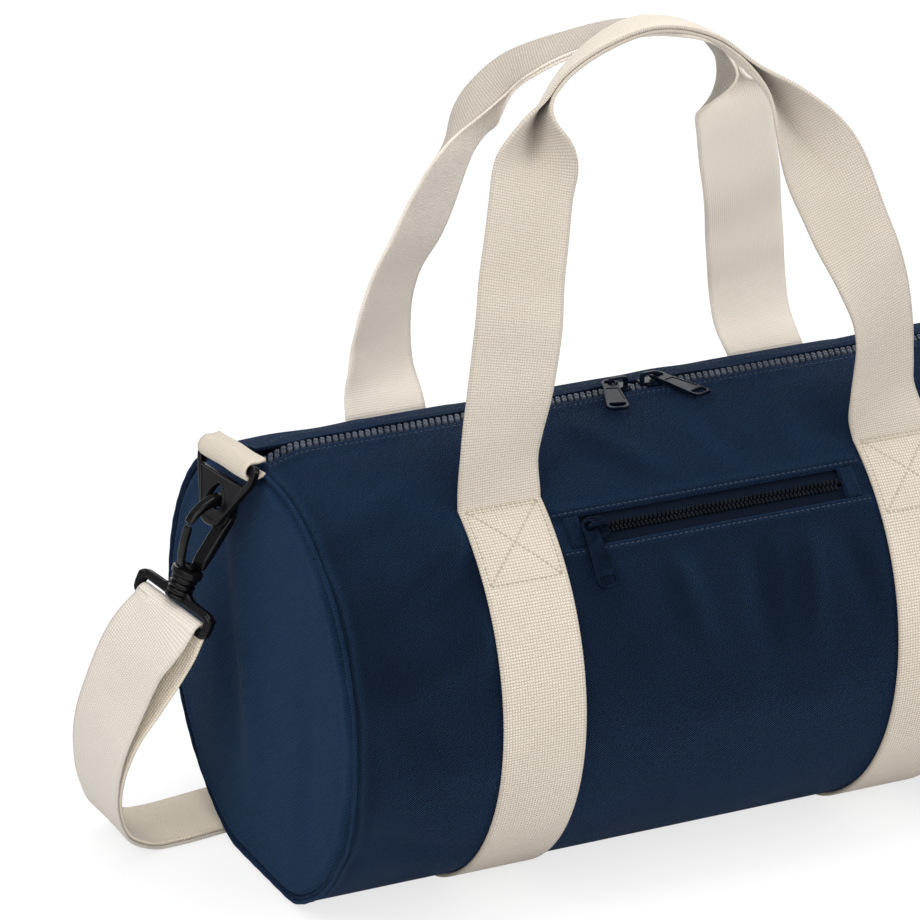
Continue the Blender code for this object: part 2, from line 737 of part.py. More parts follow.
def make_ring(name, pivot):
    """The flat triangular ring: a bar for the tab, a webbing slot and a pointed hole for the hook."""
    half, tip = RING_HALF_WIDTH, RING_TIP_HALF_WIDTH
    right = [
        (half - RING_BAR / 4, RING_BAR / 2),
        (half, RING_BAR / 4),
        (half, -RING_BAR),
        (tip, -RING_LENGTH + tip * 0.6),
        (tip * 0.75, -RING_LENGTH + tip * 0.18),
        (tip * 0.35, -RING_LENGTH),
    ]
    outline = right + [(-across, up) for across, up in reversed(right)]
    slot_half = RING_SLOT_HALF_WIDTH
    slot = [
        (slot_half, -RING_BAR / 2),
        (slot_half, -RING_BAR),
        (slot_half * 0.88, -RING_SLOT_FLOOR),
    ]
    slot += [(-across, up) for across, up in reversed(slot)]
    rise = RING_HOLE_FLOOR - RING_HOLE_TOP
    hole_half = RING_HOLE_HALF_WIDTH
    hole = [
        (hole_half * 0.75, -RING_HOLE_TOP - rise * 0.35),
        (hole_half, -RING_HOLE_TOP - rise * 0.65),
        (hole_half, -RING_HOLE_TOP - rise * 0.85),
        (hole_half * 0.7, -RING_HOLE_FLOOR),
    ]
    hole = [(0, -RING_HOLE_TOP)] + hole + [(-across, up) for across, up in reversed(hole)]
    ring = outline_solid(name, [outline, slot, hole], RING, PLATE_VIEW)
    round_edges(ring, RING / 8)
    return finish(ring, name + "_plastic", BLACK, 0.4, parent=pivot)


def make_tab(name, side_root):
    """The webbing loop sewn into the end seam, which holds the ring's bar."""
    outer_radius = TAB_LOOP_RADIUS + WEBBING
    outer = []
    inner = []
    for step in range(13):
        turn = math.radians(125) - math.radians(250) * step / 12
        outer.append((outer_radius * math.cos(turn), outer_radius * math.sin(turn)))
        inner.append((TAB_LOOP_RADIUS * math.cos(turn), TAB_LOOP_RADIUS * math.sin(turn)))
    outer += [(-TAB_TAIL, -TAB_TAIL_DROP - WEBBING), (-TAB_TAIL, -TAB_TAIL_DROP + WEBBING)]
    inner += [(-TAB_LOOP_RADIUS * 1.5, -TAB_TAIL_DROP)]
    frame = tilted_frame(TAB_BAR, TAB_YAW, 0)
    tab = outline_solid(name, [outer, inner], WEBBING_WIDTH, frame)
    seam_x = HALF_LENGTH + CLEARANCE
    block = (2 * TAB_TAIL, 2 * WEBBING_WIDTH, 2 * TAB_TAIL)
    centre = (TAB_TAIL - seam_x, TAB_BAR.y, TAB_BAR.z)
    trim = box_solid(name + "_trim", block, Matrix.Translation(centre))
    trim.parent = side_root
    boolean(tab, trim, "DIFFERENCE")
    return finish(tab, name + "_webbing", CREAM, 0.8, parent=side_root)


def hook_outline():
    """Spine, arch and claw, as shares of the hook's width and height below the arch."""
    spine_out = ((-0.52, -0.92), (-0.58, -0.82), (-0.78, -0.51), (-0.95, -0.22), (-1.0, -0.03))
    arch_out = ((-0.89, 0.6), (-0.6, 1.0), (-0.16, 1.0), (0.27, 0.75), (0.6, 0.14))
    claw = ((0.84, -0.115), (0.95, -0.273), (0.80, -0.292), (0.66, -0.178), (0.43, -0.076), (0.19, -0.02))
    under = ((0.0, 0.0), (-0.28, 0.0), (-0.5, -0.025), (-0.6, -0.127))
    spine_in = ((-0.57, -0.286), (-0.44, -0.54), (-0.31, -0.76), (-0.29, -0.92))
    points = [(x * HOOK_WIDTH, y * HOOK_HEIGHT) for x, y in spine_out]
    points += [(x * HOOK_WIDTH, y * HOOK_ARCH) for x, y in arch_out]
    points += [(x * HOOK_WIDTH, y * HOOK_HEIGHT) for x, y in claw + under + spine_in]
    return points


def make_hook(name, pivot):
    """The snap hook's body: the plate of the hook on a bored collar."""
    hook = outline_solid(name, [hook_outline()], HOOK_THICKNESS)
    round_edges(hook, HOOK_THICKNESS / 5)
    collar_end = COLLAR_TOP + COLLAR_LENGTH
    bore = STEM_RADIUS + CLEARANCE
    profile = [(bore, -COLLAR_TOP), (COLLAR_RADIUS, -COLLAR_TOP), (COLLAR_RADIUS, -collar_end)]
    profile += [(bore, -collar_end), (bore, -COLLAR_TOP)]
    collar = turned_solid(name + "_collar", profile)
    merge_doubles(collar)
    collar.parent = pivot
    boolean(hook, collar, "UNION")
    return finish(hook, name + "_plastic", BLACK, 0.4, parent=pivot)


def merge_doubles(obj):
    bm = bmesh.new()
    bm.from_mesh(obj.data)
    bmesh.ops.remove_doubles(bm, verts=bm.verts, dist=TAPE / 100)
    bmesh.ops.recalc_face_normals(bm, faces=bm.faces)
    bm.to_mesh(obj.data)
    bm.free()


GATE_PIVOT = Vector((GATE_PIVOT_SHARES[0] * HOOK_WIDTH, -GATE_PIVOT_SHARES[1] * HOOK_HEIGHT, 0))


def make_gate(name, hinge):
    """The sprung leaf that closes the hook's mouth, standing on its hinge."""
    shares = (
        (0.89, -0.3135),
        (0.71, -0.3135),
        (0.59, -0.571),
        (0.43, -0.778),
        (0.31, -0.886),
        (0.49, -0.886),
        (0.62, -0.778),
        (0.78, -0.571),
    )
    outline = [(x * HOOK_WIDTH - GATE_PIVOT.x, y * HOOK_HEIGHT - GATE_PIVOT.y) for x, y in shares]
    gate = outline_solid(name, [outline], HOOK_THICKNESS * 0.8)
    round_edges(gate, HOOK_THICKNESS / 12)
    return finish(gate, name + "_plastic", BLACK, 0.4, parent=hinge)


def swivel_profile():
    """The stem's head, its neck through the collar, and the ribbed barrel below."""
    head_floor = -COLLAR_TOP + CLEARANCE
    barrel_top = -COLLAR_TOP - COLLAR_LENGTH - CLEARANCE
    profile = [
        (0, head_floor + STEM_HEAD_HEIGHT),
        (STEM_HEAD_RADIUS, head_floor + STEM_HEAD_HEIGHT),
        (STEM_HEAD_RADIUS, head_floor),
        (STEM_RADIUS, head_floor),
        (STEM_RADIUS, barrel_top),
    ]
    rib = (barrel_top + BARREL_END) / SWIVEL_RIBS
    for index in range(SWIVEL_RIBS):
        top = barrel_top - index * rib
        floor = top - rib
        profile += [(SWIVEL_RADIUS, top), (SWIVEL_RADIUS, top - rib * 0.7)]
        if index < SWIVEL_RIBS - 1:
            groove = SWIVEL_RADIUS - SWIVEL_GROOVE
            profile += [(groove, top - rib * 0.75), (groove, floor + rib * 0.05)]
    profile += [(SWIVEL_RADIUS * 0.8, -BARREL_END), (0, -BARREL_END)]
    return profile


def make_eye(name, pivot):
    """The strap eye: a ribbed swivel barrel on a flat yoke whose lower bar takes the webbing."""
    half = EYE_HALF_WIDTH
    bar_floor = EYE_BAR_DROP + EYE_BAR / 2
    corner = EYE_BAR / 2
    right = [
        (half * 0.3, -EYE_TOP),
        (half * 0.9, -EYE_TOP - corner * 0.4),
        (half, -EYE_TOP - corner),
        (half, -bar_floor + corner),
        (half * 0.92, -bar_floor),
    ]
    outline = right + [(-across, up) for across, up in reversed(right)]
    slot_half = EYE_SLOT_HALF_WIDTH
    bar_top = EYE_BAR_DROP - EYE_BAR / 2
    slot = [(slot_half, -EYE_SLOT_TOP), (slot_half, -bar_top), (-slot_half, -bar_top), (-slot_half, -EYE_SLOT_TOP)]
    eye = outline_solid(name, [outline, slot], EYE_THICKNESS, PLATE_VIEW)
    round_edges(eye, EYE_THICKNESS / 8)
    stem = turned_solid(name + "_stem", swivel_profile())
    stem.parent = pivot
    boolean(eye, stem, "UNION")
    return finish(eye, name + "_plastic", BLACK, 0.4, parent=pivot)


def make_end_hardware(side, root):
    """Tab, ring, hook, gate and strap eye of one end, each on an empty at its joint."""
    make_tab(f"tab_{side}", root)
    ring_pivot = empty_at(f"ring_pivot_{side}", RING_FRAME, root)
    make_ring(f"ring_{side}", ring_pivot)
    hook_pivot = empty_at(f"hook_pivot_{side}", HOOK_FRAME, root)
    make_hook(f"hook_{side}", hook_pivot)
    make_eye(f"strap_eye_{side}", hook_pivot)
    gate_hinge = empty_at(f"gate_hinge_{side}", Matrix.Translation(GATE_PIVOT), hook_pivot)
    make_gate(f"gate_{side}", gate_hinge)


# Shoulder strap

BAR_RADIUS = math.hypot(EYE_THICKNESS, EYE_BAR) / 2 + CLEARANCE + WEBBING / 2
GROUND_Z = CLEARANCE + WEBBING / 2
PLY_STEP = WEBBING + STRAP_PLY_GAP
ADJUSTER_FLOOR = GROUND_Z + PLY_STEP + WEBBING / 2 + CLEARANCE


def eye_turn(start, end):
    """Places about the bar of the left strap eye, by angle from the outward side over the top."""
    found = []
    for step in range(EYE_TURN_STEPS + 1):
        turn = start + (end - start) * step / EYE_TURN_STEPS
        local = Vector((BAR_RADIUS * math.cos(turn), -EYE_BAR_DROP + BAR_RADIUS * math.sin(turn), 0))
        found.append(HOOK_FRAME @ local)
    return found


def drop_route(inner):
    """One ply from the eye down to the ground at the left end."""
    eye = HOOK_FRAME @ Vector((0, -EYE_BAR_DROP, 0))
    route = []
    for (bow, back, height), spread in zip(STRAP_DROP_SHARES, STRAP_PLY_SPREADS):
        place = Vector((-HALF_LENGTH - bow * STRAP_BOW, 0, 0))
        place.y = eye.y + back * (STRAP_LANDING_Y - eye.y)
        place.z = GROUND_Z + height * (eye.z - GROUND_Z)
        if inner:
            lean = height / STRAP_DROP_SHARES[0][2]
            place += Vector((spread * lean, 0, spread * (1 - lean)))
        route.append(place)
    return route


def ground_route(height):
    """Along the ground behind the bag, from the left end to the adjuster's end bar."""
    route = []
    for along, back in STRAP_GROUND_SHARES:
        y = STRAP_LANDING_Y + back * (ADJUSTER_Y - STRAP_LANDING_Y)
        route.append(Vector((-along * HALF_LENGTH, y, height)))
    route.append(Vector((-ADJUSTER_HALF_LENGTH, ADJUSTER_Y, height)))
    route.append(Vector((ADJUSTER_SIDE - ADJUSTER_HALF_LENGTH, ADJUSTER_Y, height)))
    return route


def sewn_tail():
    """The end folded over the right eye's bar and sewn back, drawn for the left."""
    inward = HOOK_FRAME.to_3x3() @ Vector((-PLY_STEP, 0, 0))
    return [drop_route(False)[0] + inward]


def strap_route():
    """From the tail at the right eye to the adjuster, over its middle bar, round the left eye and back."""
    run = sewn_tail() + eye_turn(math.pi, 0) + drop_route(False) + ground_route(GROUND_Z)
    run = [Vector((-place.x, place.y, place.z)) for place in run]
    over = ADJUSTER_FLOOR + ADJUSTER + CLEARANCE + WEBBING
    under = ADJUSTER_FLOOR - CLEARANCE - WEBBING / 2
    edge = ADJUSTER_BAR / 2
    crossing = [Vector((side * edge, ADJUSTER_Y, over)) for side in (1, -1)]
    inner = eye_turn(math.pi / 2, math.pi) + drop_route(True) + ground_route(GROUND_Z + PLY_STEP)
    inner.reverse()
    outer = eye_turn(math.pi / 2, 0)[1:] + drop_route(False) + ground_route(GROUND_Z)
    outer += [Vector((-edge, ADJUSTER_Y, under)), Vector((edge, ADJUSTER_Y, under))]
    return smooth_route(run + crossing + inner + outer, STRAP_SPACING)


def strap_widthways(route):
    """The webbing's width lies along the eye's bar at the top, and level across the ground below."""
    bar = HOOK_FRAME.to_3x3() @ Vector((0, 0, 1))
    level = Vector((0, 1, 0))
    top = max(place.z for place in route)
    ways = []
    for place in route:
        share = eased(place.z, 0, top * STRAP_TWIST_SHARE)
        facing = Vector((math.copysign(1, -place.x) * bar.x, bar.y, bar.z))
        ways.append((facing * share + level * (1 - share)).normalized())
    return ways


def make_shoulder_strap():
    """One length of webbing, doubled between the adjuster and the left eye."""
    route = strap_route()
    strap = loft("shoulder_strap", ribbon_sections(route, strap_widthways(route), WEBBING_WIDTH, WEBBING))
    return finish(strap, "shoulder_strap_webbing", CREAM, 0.8)


def make_adjuster():
    """The three-bar slide: a flat frame with a middle bar, lying over the strap behind the bag."""
    half, reach = ADJUSTER_HALF_WIDTH, ADJUSTER_HALF_LENGTH
    outline = [(-reach, -half), (reach, -half), (reach, half), (-reach, half)]
    slot_half = half - ADJUSTER_SIDE
    inner_edge = ADJUSTER_BAR / 2
    outer_edge = reach - ADJUSTER_SIDE
    slots = []
    for side in (-1, 1):
        slots.append(
            [
                (side * inner_edge, -slot_half),
                (side * outer_edge, -slot_half),
                (side * outer_edge, slot_half),
                (side * inner_edge, slot_half),
            ]
        )
    place = Matrix.Translation((0, ADJUSTER_Y, ADJUSTER_FLOOR + ADJUSTER / 2))
    adjuster = outline_solid("strap_adjuster", [outline] + slots, ADJUSTER, place)
    round_edges(adjuster, ADJUSTER / 6)
    return finish(adjuster, "strap_adjuster_plastic", BLACK, 0.4)


def build():
    make_body_panel()
    for name, side in (("left", -1), ("right", 1)):
        make_end_panel(f"end_panel_{name}", side)
        make_seam_binding(f"seam_binding_{name}", side)
        make_band(f"webbing_band_{name}", side)
        make_pocket_tab(f"pocket_tab_{name}", side)
    slider = slider_mesh()
    make_mouth_zip(slider)
    make_pocket_zip(slider)
    make_pocket_pouch()
    make_handle("handle_front", -1, FRONT_HANDLE_RISE, FRONT_ROUTE_SHARES)
    make_handle("handle_rear", 1, REAR_HANDLE_RISE, REAR_ROUTE_SHARES)
    for name, side in (("left", 1), ("right", -1)):
        root = empty_at(f"end_{name}", Matrix.Diagonal((side, 1, 1, 1)))
        make_end_hardware(name, root)
    make_shoulder_strap()
    make_adjuster()


build()
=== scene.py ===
"""Looks for the mini barrel duffel bag: cloth, webbing, zips, hardware, floor, light and camera."""

import math

import bmesh
import bpy
import numpy as np
from mathutils import Matrix, Vector


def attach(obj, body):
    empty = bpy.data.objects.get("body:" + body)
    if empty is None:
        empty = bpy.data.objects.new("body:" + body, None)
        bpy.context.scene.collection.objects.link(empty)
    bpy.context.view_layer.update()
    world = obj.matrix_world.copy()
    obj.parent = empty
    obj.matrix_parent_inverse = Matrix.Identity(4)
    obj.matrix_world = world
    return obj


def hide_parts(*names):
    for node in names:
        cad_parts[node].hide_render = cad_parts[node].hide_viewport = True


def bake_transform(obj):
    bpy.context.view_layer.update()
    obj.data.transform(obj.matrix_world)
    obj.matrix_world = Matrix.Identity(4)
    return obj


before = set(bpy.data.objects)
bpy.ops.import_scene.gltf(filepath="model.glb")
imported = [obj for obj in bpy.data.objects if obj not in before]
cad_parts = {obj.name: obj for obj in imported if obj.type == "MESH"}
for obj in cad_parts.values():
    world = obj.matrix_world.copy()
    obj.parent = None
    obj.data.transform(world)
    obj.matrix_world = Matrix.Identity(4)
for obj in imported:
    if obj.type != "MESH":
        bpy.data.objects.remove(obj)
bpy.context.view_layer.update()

scene = bpy.context.scene
scene.view_settings.view_transform = "Standard"


def placed(name, data):
    """A new object in the scene."""
    obj = bpy.data.objects.new(name, data)
    scene.collection.objects.link(obj)
    return obj


# Camera, at the photograph's angle

camera_data = bpy.data.cameras.new("camera")
camera_data.lens = 197.19
camera_data.sensor_width = 36.0
camera_data.clip_end = 50.0
camera = placed("camera", camera_data)
camera.matrix_world = Matrix(
    (
        (0.9018, 0.1592, -0.4019, -0.9089),
        (-0.4321, 0.3323, -0.8383, -1.7258),
        (0.0, 0.9296, 0.3685, 0.9285),
        (0.0, 0.0, 0.0, 1.0),
    )
)
scene.camera = camera


# Sizes shared with the part, in metres. Angles about the barrel run from its top over the front.

SIDES = (("left", -1), ("right", 1))
TURN = 2 * math.pi
RADIUS = 0.095
WEBBING = 0.0015
GAP = 0.0003
FABRIC = 0.0014
BASE = WEBBING + GAP
AXIS = BASE + RADIUS * math.sqrt(1 - 0.316**2)
HALF = 0.1732
PANEL_HALF = HALF - FABRIC - GAP
BAND_X = 0.0902
BAND_WIDTH = 0.0362
MOUTH_ANGLE = -math.asin(0.004 / RADIUS)
MOUTH_GAP = 0.0042
REAR_GAP = 0.0076
STITCH_IN = 0.0042
REAR_STITCH_IN = 0.0034
POCKET_ANGLE = math.radians(44.8)
POCKET_HALF = 0.060
POCKET_GAP = 0.0066
POCKET_STITCH_IN = 0.0020
STITCH_ANGLE = math.radians(34)
BOX_END_ANGLE = math.radians(54.5)


# Materials


class Nodes:
    """A node tree under construction."""

    def __init__(self, tree):
        self.tree = tree

    def put(self, node, key, value):
        socket = node.inputs[key]
        if isinstance(value, bpy.types.NodeSocket):
            self.tree.links.new(value, socket)
        else:
            socket.default_value = value

    def add(self, kind, **inputs):
        """A node and its inputs, by name with a low line for each space."""
        node = self.tree.nodes.new(kind)
        for key, value in inputs.items():
            self.put(node, key.replace("_", " "), value)
        return node

    def calc(self, operation, *values):
        node = self.tree.nodes.new("ShaderNodeMath")
        node.operation = operation
        for index, value in enumerate(values):
            self.put(node, index, value)
        return node.outputs[0]

    def mix(self, factor, a, b):
        """Two colours mixed."""
        node = self.tree.nodes.new("ShaderNodeMix")
        node.data_type = "RGBA"
        for index, value in ((0, factor), (6, a), (7, b)):
            self.put(node, index, (*value, 1.0) if isinstance(value, tuple) else value)
        return node.outputs[2]

    def layer(self, factor, a, b):
        """Two shader nodes mixed."""
        node = self.tree.nodes.new("ShaderNodeMixShader")
        for index, value in enumerate((factor, a.outputs[0], b.outputs[0])):
            self.put(node, index, value)
        return node


class Shader(Nodes):
    """A node material under construction."""

    def __init__(self, name, roughness, **inputs):
        self.material = bpy.data.materials.new(name)
        self.material.use_nodes = True
        super().__init__(self.material.node_tree)
        self.bsdf = self.tree.nodes["Principled BSDF"]
        settings = {"Roughness": roughness, "Sheen_Weight": 0.0, "Sheen_Roughness": 0.45, **inputs}
        for key, value in settings.items():
            self.put(self.bsdf, key.replace("_", " "), value)

    def metres(self):
        """Across and along the cloth, from UVs that are in metres."""
        split = self.add("ShaderNodeSeparateXYZ", Vector=self.add("ShaderNodeTexCoord").outputs["UV"])
        return split.outputs[0], split.outputs[1]

    def noise(self, scale, detail, uv=False):
        place = self.add("ShaderNodeTexCoord").outputs["UV" if uv else "Object"]
        return self.add("ShaderNodeTexNoise", Scale=scale, Detail=detail, Vector=place).outputs["Fac"]

    def ramp(self, factor, low, high, start, end):
        node = self.tree.nodes.new("ShaderNodeValToRGB")
        for stop, place, colour in zip(node.color_ramp.elements, (start, end), (low, high)):
            stop.position = place
            stop.color = (*colour, 1.0)
        self.put(node, "Fac", factor)
        return node.outputs["Color"]

    def bump(self, height, distance, strength):
        node = self.add("ShaderNodeBump", Height=height, Distance=distance, Strength=strength)
        self.put(self.bsdf, "Normal", node.outputs["Normal"])

    def colour(self, value):
        self.put(self.bsdf, "Base Color", value)

    def roughness(self, factor, low, high):
        node = self.add("ShaderNodeMapRange", Value=factor, To_Min=low, To_Max=high)
        self.put(self.bsdf, "Roughness", node.outputs["Result"])


def hump(shader, coordinate, pitch):
    """One smooth hump for every thread."""
    turn = shader.calc("MULTIPLY_ADD", coordinate, math.pi / pitch, 0.0)
    return shader.calc("ABSOLUTE", shader.calc("SINE", turn))


def make_canvas(name, dark, light, twill=0.00098, bump=0.000375):
    """Coated twill: fine diagonal ribs crossed by the threads, with a little wear and variation."""
    made = Shader(name, 0.8, Specular_IOR_Level=0.04, Sheen_Weight=0.125, Sheen_Tint=(0.2, 0.45, 1.0, 1.0))
    u, v = made.metres()
    wobble = made.noise(900.0, 2.0, uv=True)
    diagonal = made.calc("ADD", made.calc("MULTIPLY", u, 0.62), made.calc("MULTIPLY", v, 0.78))
    diagonal = made.calc("MULTIPLY_ADD", wobble, 0.0010, diagonal)
    rib = hump(made, diagonal, twill)
    thread = hump(made, made.calc("SUBTRACT", u, v), twill * 0.62)
    height = made.calc("MULTIPLY_ADD", thread, 0.45, rib)
    height = made.calc("MULTIPLY_ADD", made.noise(1300.0, 2.0, uv=True), 1.3, height)
    made.bump(height, bump, 1.0)
    cloud = made.noise(14.0, 4.0)
    fibre = made.noise(2600.0, 1.0, uv=True)
    tone = made.calc("MULTIPLY_ADD", rib, 0.44, made.calc("MULTIPLY", cloud, 0.42))
    tone = made.calc("MULTIPLY_ADD", fibre, 0.56, tone)
    made.colour(made.ramp(tone, dark, light, 0.42, 0.96))
    made.roughness(cloud, 0.72, 0.9)
    return made.material


def make_webbing(name, dark, light, pitch, depth, bump):
    """Woven tape: a grid of thread humps, deeper on the ribbed face than on the smooth one."""
    made = Shader(name, 0.82, Specular_IOR_Level=0.25, Sheen_Weight=0.15)
    u, v = made.metres()
    wobble = made.noise(500.0, 2.0, uv=True)
    row = hump(made, made.calc("MULTIPLY_ADD", wobble, pitch * 0.3, v), pitch)
    column = hump(made, made.calc("MULTIPLY_ADD", wobble, pitch * 0.2, u), pitch)
    grid = made.calc("MULTIPLY", row, made.calc("POWER", column, 0.7))
    fibre = made.noise(3200.0, 1.0, uv=True)
    made.bump(made.calc("MULTIPLY_ADD", fibre, 0.3, grid), bump, 0.9)
    cloud = made.noise(18.0, 3.0)
    tone = made.calc("MULTIPLY_ADD", grid, depth, made.calc("MULTIPLY", cloud, 0.3))
    tone = made.calc("MULTIPLY_ADD", fibre, 0.25, tone)
    selvedge = made.calc("GREATER_THAN", made.calc("ABSOLUTE", u), BAND_WIDTH / 2 - 0.0011)
    shade = made.calc("MULTIPLY", selvedge, 0.22)
    made.colour(made.mix(shade, made.ramp(tone, dark, light, 0.15, 0.95), dark))
    return made.material


def make_thread(name, dark, light):
    made = Shader(name, 0.7, Specular_IOR_Level=0.3, Sheen_Weight=0.1)
    twist = made.noise(4200.0, 1.0)
    made.bump(twist, 0.0001, 0.6)
    made.colour(made.ramp(twist, dark, light, 0.3, 0.75))
    return made.material


def make_plastic(name, dark, light, low, high, specular):
    """Moulded nylon with a faint mould grain and scuffs."""
    made = Shader(name, 0.4, Specular_IOR_Level=specular, IOR=1.27)
    cloud = made.noise(90.0, 4.0)
    made.bump(made.calc("MULTIPLY_ADD", cloud, 2.0, made.noise(1800.0, 2.0)), 0.00004, 0.5)
    made.colour(made.ramp(cloud, dark, light, 0.35, 0.8))
    made.roughness(cloud, low, high)
    return made.material


def make_metal(name, dark, light, low, high):
    """Painted zinc: satin, with rubbed patches."""
    made = Shader(name, 0.3, Specular_IOR_Level=0.42, IOR=1.12, Specular_Tint=(0.55, 0.74, 1.0, 1.0))
    cloud = made.noise(220.0, 4.0)
    made.bump(made.noise(1500.0, 2.0), 0.00003, 0.4)
    made.colour(made.ramp(cloud, dark, light, 0.35, 0.75))
    made.roughness(cloud, low, high)
    return made.material


def make_tape(name, dark, light):
    """Zip tape: tight herringbone."""
    made = Shader(name, 0.85, Specular_IOR_Level=0.05)
    u, v = made.metres()
    height = hump(made, made.calc("ADD", made.calc("PINGPONG", u, 0.0016), v), 0.0006)
    fibre = made.noise(3000.0, 1.0, uv=True)
    made.bump(height, 0.00012, 0.7)
    tone = made.calc("MULTIPLY_ADD", height, 0.6, made.calc("MULTIPLY", fibre, 0.4))
    made.colour(made.ramp(tone, dark, light, 0.1, 0.95))
    return made.material


# Finishes, three of them with painted light: dark and light colour, then for webbing the thread pitch, its
# share of the tone and its depth
CANVAS = make_canvas("canvas_navy", (0.0003, 0.0013, 0.0036), (0.0030, 0.0074, 0.0170))
# The end panels' canvas is a lighter copy of the body's: painted light for the brighter light and sheen that
# the ends catch.
END_CANVAS_PAINTED_LIGHT = make_canvas("canvas_end", (0.0009, 0.0038, 0.0112), (0.0088, 0.0210, 0.0465))
LINING = make_canvas("lining_navy", (0.004, 0.007, 0.016), (0.009, 0.015, 0.032), 0.0008, 0.000125)
RIBBED, LEG_WEB, SMOOTH, REAR_SMOOTH_PAINTED_LIGHT, TAB_WEB, STRAP, STRAP_UNDER_RIBBED_PAINTED_LIGHT = (
    make_webbing("webbing_" + name, *finish)
    for name, *finish in (
        ("ribbed", (0.310, 0.260, 0.202), (0.62, 0.558, 0.478), 0.00122, 0.60, 0.00036),
        ("leg", (0.312, 0.266, 0.214), (0.56, 0.510, 0.448), 0.00108, 0.50, 0.00024),
        ("smooth", (0.500, 0.440, 0.360), (0.74, 0.675, 0.585), 0.00102, 0.36, 0.00014),
        # The rear handle's smooth face is a lighter copy of the smooth one: painted light that lifts its legs
        # out of the shade they stand in.
        ("rear_smooth_painted_light", (0.640, 0.572, 0.488), (0.87, 0.803, 0.722), 0.00102, 0.36, 0.00014),
        ("tab", (0.420, 0.365, 0.295), (0.60, 0.540, 0.455), 0.00102, 0.30, 0.00012),
        ("strap", (0.450, 0.395, 0.330), (0.76, 0.710, 0.640), 0.00118, 0.48, 0.00024),
        # The strap's under ply has the ribbed weave, and its colour is lighter and warmer: painted light
        # against the shade of the ply over it.
        ("strap_under", (0.580, 0.490, 0.370), (0.93, 0.830, 0.690), 0.00122, 0.60, 0.00030),
    )
)
CREAM_THREAD = make_thread("thread_cream", (0.25, 0.205, 0.150), (0.50, 0.440, 0.350))
NAVY_THREAD = make_thread("thread_navy", (0.006, 0.014, 0.030), (0.018, 0.035, 0.066))
PLASTIC = make_plastic("plastic_black", (0.0022, 0.0022, 0.0026), (0.006, 0.006, 0.0068), 0.18, 0.32, 0.5)
TOOTH = make_plastic("tooth_grey", (0.028, 0.036, 0.052), (0.080, 0.096, 0.130), 0.28, 0.42, 0.3)
COIL = make_plastic("coil_black", (0.002, 0.003, 0.005), (0.008, 0.010, 0.016), 0.25, 0.4, 0.22)
METAL = make_metal("metal_dark", (0.0014, 0.0032, 0.0072), (0.0050, 0.0098, 0.0190), 0.16, 0.28)
TAPE = make_tape("tape_navy", (0.0010, 0.0022, 0.0055), (0.0045, 0.0085, 0.0180))


# Mesh helpers

# How far a selvedge stands out, as a share of the webbing's thickness
SELVEDGE = 0.22


def mesh_object(name, points, faces, uvs=None, materials=(), slots=None):
    mesh = bpy.data.meshes.new(name)
    mesh.from_pydata([tuple(point) for point in points], [], [tuple(face) for face in faces])
    for material in materials:
        mesh.materials.append(material)
    if uvs is not None:
        layer = mesh.uv_layers.new(name="UVMap")
        index = np.zeros(len(mesh.loops), np.int32)
        mesh.loops.foreach_get("vertex_index", index)
        layer.data.foreach_set("uv", np.asarray(uvs, np.float32)[index].ravel())
    if slots is not None:
        mesh.polygons.foreach_set("material_index", np.asarray(slots, np.int32))
    mesh.polygons.foreach_set("use_smooth", np.ones(len(mesh.polygons), bool))
    mesh.validate()
    mesh.update()
    return placed(name, mesh)


def quads(rows, columns, wrap=False):
    """Faces of a grid of points, row by row. With wrap, the last column joins the first."""
    i, j = np.meshgrid(np.arange(rows - 1), np.arange(columns if wrap else columns - 1), indexing="ij")
    k = (j + 1) % columns
    corners = (i * columns + j, i * columns + k, (i + 1) * columns + k, (i + 1) * columns + j)
    return np.stack(corners, axis=-1).reshape(-1, 4)


def uv_grid(u, v):
    return np.stack(np.broadcast_arrays(u, v), axis=-1).reshape(-1, 2)


def orient(obj):
    """All faces outwards."""
    bm = bmesh.new()
    bm.from_mesh(obj.data)
    bmesh.ops.recalc_face_normals(bm, faces=bm.faces)
    bm.to_mesh(obj.data)
    bm.free()
    return obj


def unit(vectors):
    length = np.linalg.norm(vectors, axis=-1, keepdims=True)
    return vectors / np.maximum(length, 1e-12)


def eased(value, start, end):
    """From nought at start to one at end, smoothly."""
    share = np.clip((np.asarray(value, float) - start) / (end - start), 0, 1)
    return share * share * (3 - 2 * share)


def bell(offset, width):
    """One at no offset, and nearly nought two widths away."""
    return np.exp(-((offset / width) ** 2))


def run_length(points):
    """The length of a run up to each of its points."""
    return np.concatenate([[0], np.cumsum(np.linalg.norm(np.diff(points, axis=0), axis=1))])


